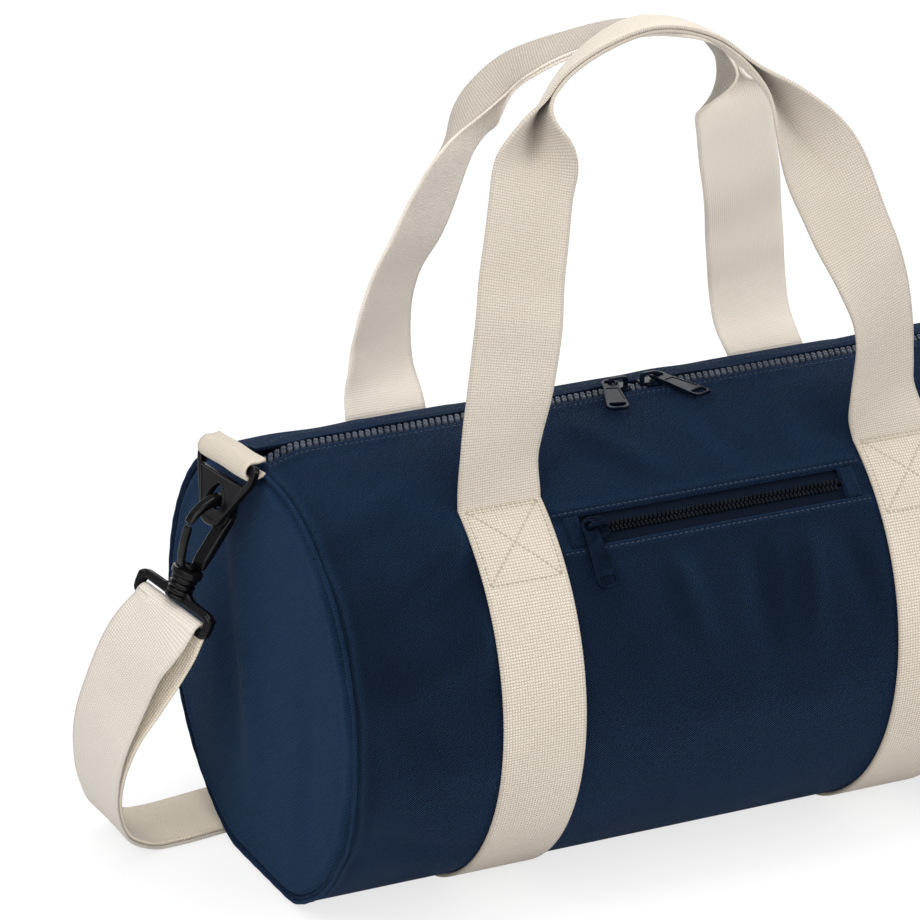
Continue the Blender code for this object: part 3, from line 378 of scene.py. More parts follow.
def strip(name, middle, thickness, across, along, materials, slots=None, back=None):
    """Thick flat tape round a grid of middle points: stations by places across, with rounded selvedges."""
    middle = np.asarray(middle, float)
    stations, places = middle.shape[:2]
    normals = unit(np.cross(np.gradient(middle, axis=0), np.gradient(middle, axis=1)))
    outer = middle + normals * thickness / 2
    inner = middle - normals * thickness / 2
    left = middle[:, :1] - unit(middle[:, 1:2] - middle[:, :1]) * thickness * SELVEDGE
    right = middle[:, -1:] + unit(middle[:, -1:] - middle[:, -2:-1]) * thickness * SELVEDGE
    rings = np.concatenate([outer, right, inner[:, ::-1], left], axis=1)
    columns = rings.shape[1]
    faces = quads(stations, columns, wrap=True).tolist()
    u = np.concatenate([across, [across[-1]], across[::-1], [across[0]]])
    for start in (0, (stations - 1) * columns):
        for place in range(places - 1):
            under = start + 2 * places - place
            face = [start + place, start + place + 1, under - 1, under]
            faces.append(face if start else face[::-1])
        faces.append([start + columns - 1, start, start + 2 * places])
        faces.append([start + places - 1, start + places, start + places + 1])
    face_slots = None
    if slots is not None:
        back = slots if back is None else back
        face_slots = [
            slots[station] if column < places - 1 else back[station]
            for station in range(stations - 1)
            for column in range(columns)
        ]
        face_slots += [slots[0]] * (places + 1) + [slots[-1]] * (places + 1)
    uvs = uv_grid(u[None, :], np.asarray(along)[:, None])
    return orient(mesh_object(name, rings.reshape(-1, 3), faces, uvs, materials, face_slots))


def box(x0, x1, y0, y1):
    return [(x0, y0), (x1, y0), (x1, y1), (x0, y1)]


def arc(radius, turns):
    return [(radius * math.cos(turn), radius * math.sin(turn)) for turn in turns]


def symmetric(points):
    """Half an outline and its mirror image."""
    return points + [(-x, y) for x, y in reversed(points)]


def scaled(points, width, height):
    return [(x * width, y * height) for x, y in points]


def rounded(points, passes):
    """A closed outline with its corners cut again and again, until it is smooth."""
    points = [Vector(point) for point in points]
    for _ in range(passes):
        pairs = list(zip(points, points[1:] + points[:1]))
        points = [here.lerp(there, share) for here, there in pairs for share in (0.25, 0.75)]
    return points


def filleted(points, radius, steps):
    """A closed outline whose corners are rounded to about this radius."""
    points = [Vector(point) for point in points]
    made = []
    for index, here in enumerate(points):
        before, after = points[index - 1], points[(index + 1) % len(points)]
        room = min(radius, (before - here).length * 0.45, (after - here).length * 0.45)
        start = here + (before - here).normalized() * room
        end = here + (after - here).normalized() * room
        for step in range(steps + 1):
            t = step / steps
            made.append(start * (1 - t) ** 2 + here * 2 * t * (1 - t) + end * t * t)
    return made


def plate(name, loops, depth, bevel, matrix, material, resolution=2, centre=0.0):
    """A flat moulded piece from outlines, with rounded edges."""
    curve = bpy.data.curves.new(name, "CURVE")
    curve.dimensions = "2D"
    curve.fill_mode = "BOTH"
    curve.extrude = max(depth / 2 - bevel, 0.00002)
    curve.bevel_depth = bevel
    curve.bevel_resolution = resolution
    curve.offset = -bevel
    for loop in loops:
        spline = curve.splines.new("POLY")
        spline.points.add(len(loop) - 1)
        for point, place in zip(spline.points, loop):
            point.co = (place[0], place[1], 0, 1)
        spline.use_cyclic_u = True
    drawn = placed(name + "_outline", curve)
    bpy.context.view_layer.update()
    mesh = bpy.data.meshes.new_from_object(drawn.evaluated_get(bpy.context.evaluated_depsgraph_get()))
    bpy.data.objects.remove(drawn, do_unlink=True)
    mesh.transform(Matrix.Translation((0, 0, centre)))
    mesh.transform(matrix)
    mesh.materials.clear()
    mesh.materials.append(material)
    return placed(name, mesh)


def turned(name, profile, matrix, material):
    """A profile of radius and height turned about the local Y axis."""
    steps = 32
    turn = np.arange(steps) * TURN / steps
    rings = [
        np.stack([radius * np.cos(turn), np.full(steps, height), radius * np.sin(turn)], axis=-1)
        for radius, height in profile
    ]
    points = np.concatenate(rings)
    faces = quads(len(profile), steps, wrap=True).tolist()
    faces.append(list(range(steps)))
    faces.append(list(range(len(points) - 1, len(points) - 1 - steps, -1)))
    obj = mesh_object(name, points, faces, None, [material])
    obj.data.transform(matrix)
    return orient(obj)


def joined(name, objects):
    """One object from several, welded where they coincide, with soft bevels and sharp corners."""
    mesh = bpy.data.meshes.new(name)
    bm = bmesh.new()
    for obj in objects:
        bm.from_mesh(obj.data)
    bmesh.ops.remove_doubles(bm, verts=bm.verts, dist=0.000002)
    bm.to_mesh(mesh)
    bm.free()
    mesh.materials.append(objects[0].data.materials[0])
    for obj in objects:
        bpy.data.objects.remove(obj, do_unlink=True)
    mesh.polygons.foreach_set("use_smooth", np.ones(len(mesh.polygons), bool))
    mesh.set_sharp_from_angle(angle=math.radians(38))
    obj = placed(name, mesh)
    obj.modifiers.new("weighted", "WEIGHTED_NORMAL").keep_sharp = True
    return obj


def mirrored(obj, name):
    """The same piece for the right end."""
    mesh = obj.data.copy()
    mesh.transform(Matrix.Diagonal((-1, 1, 1, 1)))
    mesh.flip_normals()
    copy = placed(name, mesh)
    for modifier in obj.modifiers:
        copy.modifiers.new(modifier.name, modifier.type).keep_sharp = True
    return copy


def cloth_thick(obj):
    """The cloth's thickness, on its inner side."""
    thick = obj.modifiers.new("thickness", "SOLIDIFY")
    thick.thickness = FABRIC
    thick.offset = -1.0


def dress(obj, body, nodes):
    """What every piece gets: its body and the nodes that it stands for."""
    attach(obj, body)
    if nodes:
        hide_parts(*nodes)


# Barrel cloth


def barrel(x, t, d):
    """Points on the barrel: along it, by angle, and out of it, flat where it meets the ground."""
    x, t, d = np.broadcast_arrays(np.asarray(x, float), np.asarray(t, float), np.asarray(d, float))
    y = -(RADIUS + d) * np.sin(t)
    z = AXIS + (RADIUS + d) * np.cos(t)
    floor = BASE - d
    soft = 0.0008
    z = floor + soft * np.logaddexp(0, (z - floor) / soft)
    return np.stack([x, y, z], axis=-1)


def wrapped(t):
    """Angles past half a turn as negative ones."""
    return np.where(t > math.pi, t - TURN, t)


# Soft folds: X, angle in degrees, half length and half width in metres, turn in degrees, height
FOLDS = (
    (-0.118, 44, 0.026, 0.0060, -38, 0.0028),
    (-0.126, 56, 0.030, 0.0075, -30, -0.0023),
    (-0.122, 70, 0.034, 0.0085, -20, 0.0023),
    (-0.136, 28, 0.024, 0.0070, -30, 0.0020),
    (-0.150, 90, 0.030, 0.0090, 60, -0.0018),
    (-0.118, 100, 0.030, 0.0100, 15, 0.0015),
    (-0.140, 122, 0.026, 0.0070, 30, -0.0020),
    (-0.030, 22, 0.030, 0.0070, 60, 0.0015),
    (0.018, 26, 0.028, 0.0080, 75, -0.0015),
    (0.048, 20, 0.026, 0.0070, 110, 0.0015),
    (-0.022, 62, 0.028, 0.0060, 80, 0.0020),
    (0.012, 64, 0.030, 0.0065, 92, -0.0018),
    (0.036, 63, 0.028, 0.0055, 96, 0.0018),
    (0.056, 66, 0.026, 0.0060, 80, -0.0015),
    (0.000, 96, 0.040, 0.0120, 10, 0.0018),
    (0.130, 50, 0.030, 0.0080, 30, 0.0023),
    (0.128, 84, 0.030, 0.0080, 20, -0.0020),
)
FOLD_SCALE = 1.3
FOLD_BEND = 0.10
# Spacing of the cloth's grid lines, how far in an end panel's rim lies, and the seam cord's radius
CLOTH_STEP = 0.0026
END_INSET = 0.0019
CORD_RADIUS = 0.00085


def near_band(x):
    """One on the webbing bands and nought away from them."""
    off = np.abs(np.abs(x) - BAND_X) - BAND_WIDTH / 2
    return 1 - eased(off, -0.0004, 0.0045)


def folds(x, t):
    height = np.zeros(np.broadcast(x, t).shape)
    for centre, angle, length, width, turn, rise in FOLDS:
        dx = x - centre
        ds = RADIUS * (t - math.radians(angle))
        c, s = math.cos(math.radians(turn)), math.sin(math.radians(turn))
        along, over = dx * c + ds * s, ds * c - dx * s
        over = over + FOLD_BEND * along * along / length
        height = height + FOLD_SCALE * rise * bell(along, length) * bell(over, width)
    height = height + 0.00065 * np.sin(x * 61 + 1.3) * np.sin(t * 3.1 + 0.6)
    return height + 0.00034 * np.sin(x * 143 + t * 5.0) * np.sin(t * 9.0 - x * 40)


def pucker(t):
    """How the end seam wanders: short waves that gather round the rim."""
    return 0.5 * np.sin(7 * t + 0.4) + 0.32 * np.sin(13 * t + 2.1) + 0.22 * np.sin(23 * t + 0.9)


def seam_shift(t):
    """How far the end seam lies inside its plane, with one slack kink low on the front."""
    slack = bell(t - math.radians(118), 0.05) - 0.6 * bell(t - math.radians(126), 0.07)
    return 0.0006 + 0.0004 * pucker(t) + 0.0012 * slack


def ledge(distance, peak, stitch, low=-0.0005):
    """The thickness that a turned and stitched edge adds, by distance from the edge."""
    rise = low + (peak - low) * eased(distance, -0.0002, 0.0011)
    fall = 1 - eased(distance, stitch + 0.0012, stitch + 0.0050)
    return rise * fall - 0.00045 * bell(distance - stitch, 0.0006)


def end_drop(x, t):
    """The mouth dips where the zip runs into the end seams."""
    from_end = HALF - np.abs(x)
    return -0.0052 * (1 - eased(from_end, 0.0, 0.021)) * bell(t - MOUTH_ANGLE, 0.42)


def mouth_wave(x, t):
    """A little rise and fall behind the mouth, between the bands."""
    wave = 0.0006 * np.sin(x * 38 + 0.5) + 0.0004 * np.sin(x * 21 - 1.2)
    behind = eased(MOUTH_ANGLE - t, 0.0045 / RADIUS, 0.0075 / RADIUS) * bell(t - MOUTH_ANGLE, 0.16)
    return wave * behind * (1 - near_band(x)) * (1 - eased(np.abs(x), 0.125, 0.135))


def relief(x, t):
    """Height of the cloth above the plain barrel.

    What belongs behind the mouth is written for negative angles. The rear stitches have them, but the
    rear cloth is drawn a full turn on, so it gets no turned edge, wave or dip there: a known fault.
    """
    free = 1 - near_band(x)
    behind = t < MOUTH_ANGLE
    on_top = np.abs(t) < 1.0
    from_mouth = np.abs(RADIUS * (t - MOUTH_ANGLE)) - np.where(behind, REAR_GAP, MOUTH_GAP)
    from_mouth = np.where(on_top, from_mouth, 1.0)
    from_pocket = np.abs(RADIUS * (t - POCKET_ANGLE)) - POCKET_GAP
    from_end = HALF - np.abs(x)
    base = 1 - eased(np.cos(t), -0.72, -0.90)
    past_mouth = eased(from_mouth, 0.006, 0.030)
    calm = np.where(np.abs(x) > 0.075, past_mouth, past_mouth * eased(from_pocket, 0.004, 0.020))
    height = folds(x, t) * calm * free * base + end_drop(x, t) + mouth_wave(x, t)
    peak, low = np.where(behind, 0.0017, 0.0008), np.where(behind, -0.0017, -0.0005)
    stitch = np.where(behind, REAR_STITCH_IN, STITCH_IN)
    height = height + ledge(from_mouth, peak, stitch, low) * on_top * (0.2 + 0.8 * free)
    beside_pocket = (1 - eased(np.abs(x), 0.0685, 0.0712)) * (np.abs(t - POCKET_ANGLE) < 0.6)
    raised = np.where(from_pocket > 0, ledge(from_pocket, 0.0010, POCKET_STITCH_IN), -0.0004)
    height = height + raised * beside_pocket
    gather = 0.0010 * pucker(t) * bell(from_end, 0.010)
    lip = 0.0011 * bell(from_end - 0.0022, 0.0017) - 0.0004 * bell(from_end - 0.0062, 0.0020)
    roll = -0.0026 * np.clip(1 - from_end / 0.0018, 0, 1) ** 2
    return height + (gather + lip) * base + roll


def lines(start, end, step, *keys):
    """Increasing values at about this step that include every key value."""
    marks = sorted({start, end, *(key for key in keys if start < key < end)})
    found = []
    for low, high in zip(marks, marks[1:]):
        count = max(1, round((high - low) / step))
        found += [low + (high - low) * index / count for index in range(count)]
    return np.array(found + [end])


def closer(centre, *offsets):
    return [centre + sign * offset for offset in offsets for sign in (1, -1)]


def cloth_lines():
    """Where the cloth's grid lines run, close together at the mouth, the pocket and the end seams."""
    zone = [0.0, 0.0003, 0.0007, 0.0012, 0.0020, 0.0028, 0.0036, 0.0042, 0.0048, 0.0056, 0.0070, 0.0090]
    mouth = [MOUTH_ANGLE + (MOUTH_GAP + offset) / RADIUS for offset in zone]
    rear = [TURN + MOUTH_ANGLE - (REAR_GAP + offset) / RADIUS for offset in zone]
    fine = [0.0, 0.0003, 0.0008, 0.0014, 0.0020, 0.0026, 0.0034, 0.0045, 0.0060]
    pocket = closer(POCKET_ANGLE, *[(POCKET_GAP + offset) / RADIUS for offset in fine])
    t = lines(mouth[0], rear[0], CLOTH_STEP / RADIUS, *mouth, *rear, *pocket)
    rim = (0.0004, 0.0009, 0.0015, 0.0022, 0.0030, 0.0040, 0.0052, 0.0068, 0.009)
    ends = [HALF - offset for offset in rim]
    pocket_ends = closer(0.0, POCKET_HALF, 0.0685, 0.0694, 0.0703, 0.0712)
    x = lines(-HALF, HALF, CLOTH_STEP, *[-end for end in ends], *ends, *pocket_ends)
    return x, t


def make_body_cloth():
    x, t = cloth_lines()
    grid_x, grid_t = np.meshgrid(x, t)
    shift = seam_shift(grid_t) * bell(HALF - np.abs(grid_x), 0.012) * -np.sign(grid_x)
    points = barrel(grid_x + shift, grid_t, relief(grid_x, grid_t))
    open_x = np.abs((x[:-1] + x[1:]) / 2) < POCKET_HALF
    open_t = np.abs((t[:-1] + t[1:]) / 2 - POCKET_ANGLE) < POCKET_GAP / RADIUS
    keep = ~(open_t[:, None] & open_x[None, :]).reshape(-1)
    faces = quads(len(t), len(x))[keep][:, ::-1]
    obj = mesh_object("body_cloth", points.reshape(-1, 3), faces, uv_grid(grid_x, grid_t * RADIUS), [CANVAS])
    cloth_thick(obj)
    dress(obj, "bag", ["body_panel"])


def end_depth(y, z, share, t, left):
    """How far the end cloth stands out of its plane."""
    swell = 0.0016 * (1 - share**2) ** 0.6
    sway = 0.010 * np.sin((z - 0.09) * 16)
    fold = -0.0042 * bell(y - 0.030 - sway, 0.0120) * bell(z - 0.098, 0.050)
    ridge = 0.0026 * bell(y - 0.008 - sway, 0.011) * bell(z - 0.100, 0.055)
    second = -0.0022 * bell(y + 0.052 + 0.3 * sway, 0.009) * bell(z - 0.075, 0.040)
    low = 0.0014 * bell(y + 0.020, 0.030) * bell(z - 0.038, 0.020)
    gather = 0.8 * 0.0013 * pucker(t) * bell(1 - share, 0.13)
    if not left:
        fold, ridge = 0.7 * fold, 0.8 * ridge
    return swell + fold + ridge + second + low + gather


def make_end_cloth(name, side, node):
    near_rim = [0.92, 0.94, 0.955, 0.967, 0.977, 0.985, 0.991, 0.996]
    rings = np.concatenate([np.linspace(0, 0.9, 34), near_rim])
    turns = np.linspace(0, TURN, 181)[:-1]
    share, t = np.meshgrid(rings, turns, indexing="ij")
    rim = barrel(0, t, end_drop(HALF, wrapped(t)) - END_INSET)
    middle = np.array([0, 0, AXIS])
    flat = middle + (rim - middle) * share[..., None]
    out = end_depth(flat[..., 1], flat[..., 2], share, t, side < 0)
    edge = 1 - share
    seam = -seam_shift(t) - 0.0026 * np.clip(1 - edge / 0.035, 0, 1) ** 2
    lip = 0.0009 * bell(edge - 0.050, 0.022)
    flat[..., 0] = side * (HALF + out * eased(edge, 0.0, 0.05) + lip + seam * bell(edge, 0.10))
    faces = quads(len(rings), len(turns), wrap=True)
    if side > 0:
        faces = faces[:, ::-1]
    # The end panels take the lighter canvas copy, with its painted light.
    obj = mesh_object(name, flat.reshape(-1, 3), faces, uv_grid(flat[..., 1], flat[..., 2]), [END_CANVAS_PAINTED_LIGHT])
    bm = bmesh.new()
    bm.from_mesh(obj.data)
    bmesh.ops.remove_doubles(bm, verts=bm.verts, dist=0.00001)
    bm.to_mesh(obj.data)
    bm.free()
    if sum(face.normal.x * face.area for face in obj.data.polygons) * side < 0:
        obj.data.flip_normals()
    cloth_thick(obj)
    dress(obj, "bag", [node])


def make_seam_roll(name, side):
    """The turned edge that stands up as a thin cord all along an end seam."""
    t = np.linspace(0, TURN, 241)[:-1]
    x = side * (HALF - 0.0007 - 0.6 * seam_shift(t))
    drop = end_drop(np.full_like(t, HALF - 0.0008), wrapped(t))
    centres = barrel(x, t, drop - 0.0003 + 0.0003 * pucker(t))
    away = unit(barrel(x, t, drop + 0.002) - barrel(x, t, drop - 0.002))
    ring = np.linspace(0, TURN, 11)[:-1]
    size = CORD_RADIUS + 0.00008 * np.sin(t * 57)
    cosine, sine = np.cos(ring)[None, :, None], np.sin(ring)[None, :, None]
    around = away[:, None, :] * cosine + np.array([side, 0, 0]) * sine
    points = centres[:, None, :] + around * size[:, None, None]
    faces = quads(len(t), len(ring), wrap=True).tolist()
    last = (len(t) - 1) * len(ring)
    for place in range(len(ring)):
        after = (place + 1) % len(ring)
        faces.append([last + place, last + after, after, place])
    uvs = uv_grid(ring[None, :] * 0.001, (t * RADIUS)[:, None])
    # The cord takes the same lighter canvas copy, with its painted light.
    obj = orient(mesh_object(name, points.reshape(-1, 3), faces, uvs, [END_CANVAS_PAINTED_LIGHT]))
    dress(obj, "bag", ())


# Stitching

# Along the stitch, thickness and height above the cloth, in lengths and radii of the thread
STITCH_STATIONS = (
    (0.0, 0.35, -1.3),
    (0.12, 0.85, -0.4),
    (0.35, 1.0, 0.15),
    (0.65, 1.0, 0.15),
    (0.88, 0.85, -0.4),
    (1.0, 0.35, -1.3),
)
STITCH_SIDES = 6
CLOTH_PITCH = 0.0024
BOX_PITCH = 0.0021
STITCH_SHARE = 0.72
NAVY_RADIUS, CREAM_RADIUS = 0.00026, 0.00030
POCKET_ROW_HALF = 0.0705
POCKET_CROSS_X = 0.0645


def capsules(name, starts, ends, normals, radius, material, sunk):
    """Short threads that dive into the cloth at both ends, all in one mesh."""
    ways = unit(ends - starts)
    sides = unit(np.cross(normals, ways))
    length = np.linalg.norm(ends - starts, axis=-1)[:, None]
    points = []
    for along, size, lift in STITCH_STATIONS:
        centre = starts + ways * length * along + normals * radius * (lift - sunk + 1)
        for step in range(STITCH_SIDES):
            turn = TURN * step / STITCH_SIDES
            points.append(centre + radius * size * (math.cos(turn) * sides + math.sin(turn) * normals))
    points = np.stack(points, axis=1)
    base = quads(len(STITCH_STATIONS), STITCH_SIDES, wrap=True)
    faces = (base[None] + (np.arange(len(starts)) * points.shape[1])[:, None, None]).reshape(-1, 4)
    return orient(mesh_object(name, points.reshape(-1, 3), faces, None, [material]))


def sampled(at, length, values):
    """Values at these lengths along a run."""
    return np.stack([np.interp(at, length, values[:, axis]) for axis in range(3)], axis=-1)


def stitch_path(path, normals, pitch):
    """Thread ends and the way out of the cloth, along a path of points, pitch by pitch."""
    length = run_length(path)
    count = max(1, int(length[-1] / pitch))
    step = length[-1] / count
    begin = np.arange(count) * step + step * (1 - STITCH_SHARE) / 2
    end = begin + step * STITCH_SHARE
    return sampled(begin, length, path), sampled(end, length, path), unit(sampled(begin, length, normals))


def barrel_normal(t):
    return np.stack([np.zeros_like(t), -np.sin(t), np.cos(t)], axis=-1)


def cloth_run(x, t):
    """Stitches along a run of X and angle, at the height that relief() gives."""
    x, t = np.broadcast_arrays(np.asarray(x, float), np.asarray(t, float))
    return stitch_path(barrel(x, t, relief(x, t)), barrel_normal(t), CLOTH_PITCH)


def gather_runs(runs):
    return tuple(np.concatenate([run[index] for run in runs]) for index in range(3))


def make_cloth_stitches():
    x = np.linspace(-HALF + 0.004, HALF - 0.004, 500)
    rows = (MOUTH_GAP + STITCH_IN, -REAR_GAP - REAR_STITCH_IN)
    runs = [cloth_run(x, MOUTH_ANGLE + away / RADIUS) for away in rows]
    x = np.linspace(-POCKET_ROW_HALF, POCKET_ROW_HALF, 240)
    for side in (1, -1):
        runs.append(cloth_run(x, POCKET_ANGLE + side * (POCKET_GAP + POCKET_STITCH_IN) / RADIUS))
    t = POCKET_ANGLE + np.linspace(-POCKET_GAP * 0.9, POCKET_GAP * 0.9, 12) / RADIUS
    runs += [cloth_run(np.full(12, side * POCKET_CROSS_X), t) for side in (1, -1)]
    obj = capsules("cloth_stitches", *gather_runs(runs), NAVY_RADIUS, NAVY_THREAD, 0.35)
    dress(obj, "bag", ())


# Zips

TAPE_DEPTH = -0.0024
TAPE_THICKNESS = 0.0006
MOUTH_TAPE_REACH = 0.0125
MOUTH_TAPE_HALF = 0.1612
POCKET_TAPE_REACH = 0.0120
POCKET_TAPE_HALF = 0.0664
TOOTH_PITCH = 0.00287
COIL_PITCH = 0.0019
COIL_LEAN = 0.18
# Width, reach from the split and height of one tooth
TOOTH_SIZE = (0.00205, 0.0033, 0.0024)
COIL_SIZE = (0.00135, 0.0026, 0.0022)
TOOTH_FLOOR = -0.0017
SLIDER_LENGTH = 0.0105
SLIDER_HALF = 0.0046
SLIDER_PLATE = 0.0012
SLIDER_TOP = 0.00095
SLIDER_FOOT = -0.0035
RAIL_HALF, RAIL_SIDE, RAIL_HEIGHT = 0.0034, 0.0004, 0.0014
PLATE_TOP = SLIDER_TOP + SLIDER_PLATE
BRIDGE_WIDTH = 0.0018
BRIDGE_WINDOW = 0.0024
BRIDGE_BAR = 0.0012
PULLER_LENGTH = 0.027
PULLER_EYE = 0.0036
PULLER_TIP = 0.0048
PULLER_BORE = 0.0022
PULLER_WEB, PULLER_RIM = 0.0008, 0.0013
PULL_TURN, PULL_TILT = math.radians(19), math.radians(4)
PULLER_UP = PLATE_TOP + BRIDGE_WINDOW / 2
LEG_OFFSET = SLIDER_LENGTH / 2 - BRIDGE_BAR / 2 - BRIDGE_WIDTH / 2
MOUTH_SLIDER_X = 0.0075
POCKET_SLIDER_GAP = 0.00075
PATCH_THICKNESS = 0.0007
LINING_THICKNESS = 0.0006
BINDING_HALF = 0.0048
BINDING_THICKNESS = 0.0009
BINDING_INSET = 0.005
# Spacing of the stations along the lining and the strap
ROUTE_STEP = 0.0035


def make_zip_tape(name, node, angle, side, reach, half_length):
    """Half a zip's woven tape, rising a little where it carries its teeth."""
    x = np.linspace(-half_length, half_length, 90)
    s = np.array([0.0006, 0.0016, 0.0030, 0.0042, 0.0060, 0.0085, reach])
    grid_x, grid_t = np.meshgrid(x, angle + side * s / RADIUS, indexing="ij")
    d = TAPE_DEPTH + 0.0007 * bell(s, 0.004)
    middle = barrel(grid_x, grid_t, d[None, :] + end_drop(grid_x, grid_t))
    dress(strip(name, middle, TAPE_THICKNESS, s, x, [TAPE]), "bag", [node])


def tooth_shape(width, reach, height):
    """One moulded tooth: rings of X, along the surface from the split outwards, and up."""
    outline = []
    for step in range(16):
        turn = TURN * step / 16
        s = 0.5 - 0.5 * math.cos(turn)
        half = (0.52 + 0.48 * math.sin(s * math.pi * 0.62)) * math.sqrt(max(1 - (2 * s - 1) ** 4, 0))
        outline.append((0.0 if step in (0, 8) else math.copysign(half, math.sin(turn)), s))
    levels = ((1.0, 0.0), (1.0, 0.62), (0.9, 0.88), (0.7, 1.0), (0.42, 0.98), (0.22, 0.72), (0.08, 0.66))
    middle = 0.56
    rings = []
    for scale, up in levels:
        ring = [(half * width / 2 * scale, (middle + (s - middle) * scale) * reach) for half, s in outline]
        rings.append([(x, s, up * height) for x, s in ring])
    return np.array(rings)


def make_teeth(name, node, angle, side, half_length, pitch, shape, material, lean):
    """A row of teeth. The row behind the split is half a pitch on, so that the two interlock."""
    count = int((2 * half_length - pitch) / pitch)
    phase = 0.0 if side > 0 else 0.5
    x = (phase - count / 2) * pitch + np.arange(count) * pitch
    x = x[np.abs(x) < half_length - pitch / 2]
    rings, around = shape.shape[:2]
    local = shape.reshape(-1, 3)
    along = x[:, None] + local[None, :, 0] + lean * local[None, :, 1]
    t = angle + side * (local[None, :, 1] - 0.0002) / RADIUS
    points = barrel(along, t, TOOTH_FLOOR + local[None, :, 2] + end_drop(along, angle))
    base = quads(rings, around, wrap=True).tolist()
    base.append(list(range((rings - 1) * around, rings * around)))
    starts = [index * rings * around for index in range(len(x))]
    faces = [[corner + start for corner in face] for start in starts for face in base]
    obj = orient(mesh_object(name, points.reshape(-1, 3), faces, None, [material]))
    dress(obj, "bag", [node])


def surface_matrix(x, t):
    """X along the barrel, Y up the surface towards the top, Z out of it."""
    out = Vector((0, -math.sin(t), math.cos(t)))
    along = Vector((1, 0, 0))
    matrix = Matrix((along, out.cross(along), out)).transposed().to_4x4()
    matrix.translation = Vector(barrel(x, t, 0.0))
    return matrix


def make_slider(name, matrix, nose, body):
    """Runner with flared nose, flanges down over the teeth, and the bridge that holds the pull."""
    half, length, foot = SLIDER_HALF, SLIDER_LENGTH, SLIDER_TOP + SLIDER_PLATE / 2
    shares = ((-0.5, -0.62), (-0.15, -0.74), (0.22, -1.0), (0.5, -0.82))
    lower = scaled(shares, length, half)
    outline = [(nose * x, y) for x, y in lower + [(x, -y) for x, y in reversed(lower)]]
    if nose < 0:
        outline.reverse()
    outline = rounded(outline, 2)
    pieces = [plate(name + "_top", [outline], SLIDER_PLATE, 0.0004, matrix, METAL, 2, foot)]
    pieces.append(plate(name + "_foot", [outline], SLIDER_PLATE, 0.0003, matrix, METAL, 1, SLIDER_FOOT))
    for side in (1, -1):
        middle = side * half * 0.98
        rail = rounded(box(-RAIL_HALF, RAIL_HALF, middle - RAIL_SIDE, middle + RAIL_SIDE), 1)
        lift = SLIDER_TOP + 0.0002
        pieces.append(plate(name + "_rail", [rail], RAIL_HEIGHT, 0.0002, matrix, METAL, 1, lift))
    reach = length / 2 - 0.0006
    inner = reach - BRIDGE_WIDTH
    roof = PLATE_TOP + BRIDGE_WINDOW
    arch = [(-reach, foot), (-reach, roof + 0.0004), (-inner, roof + BRIDGE_BAR)]
    arch += [(-x, y) for x, y in reversed(arch)]
    arch += symmetric([(inner, foot), (inner * 0.9, roof)])
    upright = matrix @ Matrix(((1, 0, 0, 0), (0, 0, -1, 0), (0, 1, 0, 0), (0, 0, 0, 1)))
    pieces.append(plate(name + "_bridge", [filleted(arch, 0.0009, 3)], BRIDGE_WIDTH, 0.0005, upright, METAL))
    dress(joined(name, pieces), body, [body])


def make_puller(name, matrix, body):
    """Flat pull with a raised rim, a round eye at the slider and a rounded slot near its tip."""
    eye, tip, end = PULLER_EYE, PULLER_TIP, -PULLER_LENGTH
    outline = arc(eye, np.linspace(0, math.pi, 13))
    outline += symmetric([(-eye * 0.92, -0.0050), (-tip, end + 0.0022), (-tip * 0.72, end)])
    outline = filleted(outline, 0.0018, 3)
    bore = arc(PULLER_BORE, np.linspace(0, TURN, 21)[:-1])
    hole = symmetric([(-0.0034, end + 0.0052), (-0.0033, end + 0.0024), (-0.0018, end + 0.0012)])
    hole = filleted(hole, 0.0007, 3)
    field = filleted(symmetric([(-0.0024, -0.0062), (-0.0036, end + 0.0078)]), 0.0009, 3)
    pieces = [plate(name + "_web", [outline, bore, hole], PULLER_WEB, 0.0002, matrix, METAL, 1)]
    pieces.append(plate(name + "_rim", [outline, bore, hole, field], PULLER_RIM, 0.0003, matrix, METAL))
    dress(joined(name, pieces), body, [body])


def make_zips():
    mouth, pocket = (("front", 1), ("rear", -1)), (("lower", 1), ("upper", -1))
    for half, side in mouth:
        span = (MOUTH_TAPE_REACH, MOUTH_TAPE_HALF)
        make_zip_tape(f"zip_tape_{half}", f"mouth_tape_{half}", MOUTH_ANGLE, side, *span)
    for half, side in pocket:
        span = (POCKET_TAPE_REACH, POCKET_TAPE_HALF)
        make_zip_tape(f"pocket_zip_tape_{half}", f"pocket_tape_{half}", POCKET_ANGLE, side, *span)
    tooth = (PANEL_HALF - 0.001, TOOTH_PITCH, tooth_shape(*TOOTH_SIZE), TOOTH, 0.0)
    for half, side in mouth:
        make_teeth(f"zip_teeth_{half}", f"mouth_teeth_{half}", MOUTH_ANGLE, side, *tooth)
    coil = (POCKET_HALF - GAP, COIL_PITCH, tooth_shape(*COIL_SIZE), COIL, COIL_LEAN)
    for half, side in pocket:
        make_teeth(f"pocket_coil_{half}", f"pocket_teeth_{half}", POCKET_ANGLE, side, *coil)
    raised = Matrix.Translation((0, 0, PULLER_UP))
    for name, side in SIDES:
        x = side * MOUTH_SLIDER_X
        make_slider(f"zip_slider_{name}", surface_matrix(x, MOUTH_ANGLE), side, f"mouth_slider_{name}")
        turn = Matrix.Rotation(side * PULL_TURN, 4, "Z") @ Matrix.Rotation(PULL_TILT, 4, "X")
        leg = surface_matrix(x + side * LEG_OFFSET, MOUTH_ANGLE)
        make_puller(f"zip_pull_{name}", leg @ raised @ turn, f"mouth_puller_{name}")
    x = SLIDER_LENGTH / 2 + POCKET_SLIDER_GAP - POCKET_HALF
    make_slider("pocket_runner", surface_matrix(x, POCKET_ANGLE), 1, "pocket_slider")
    make_puller("pocket_pull", surface_matrix(x - LEG_OFFSET, POCKET_ANGLE) @ raised, "pocket_puller")


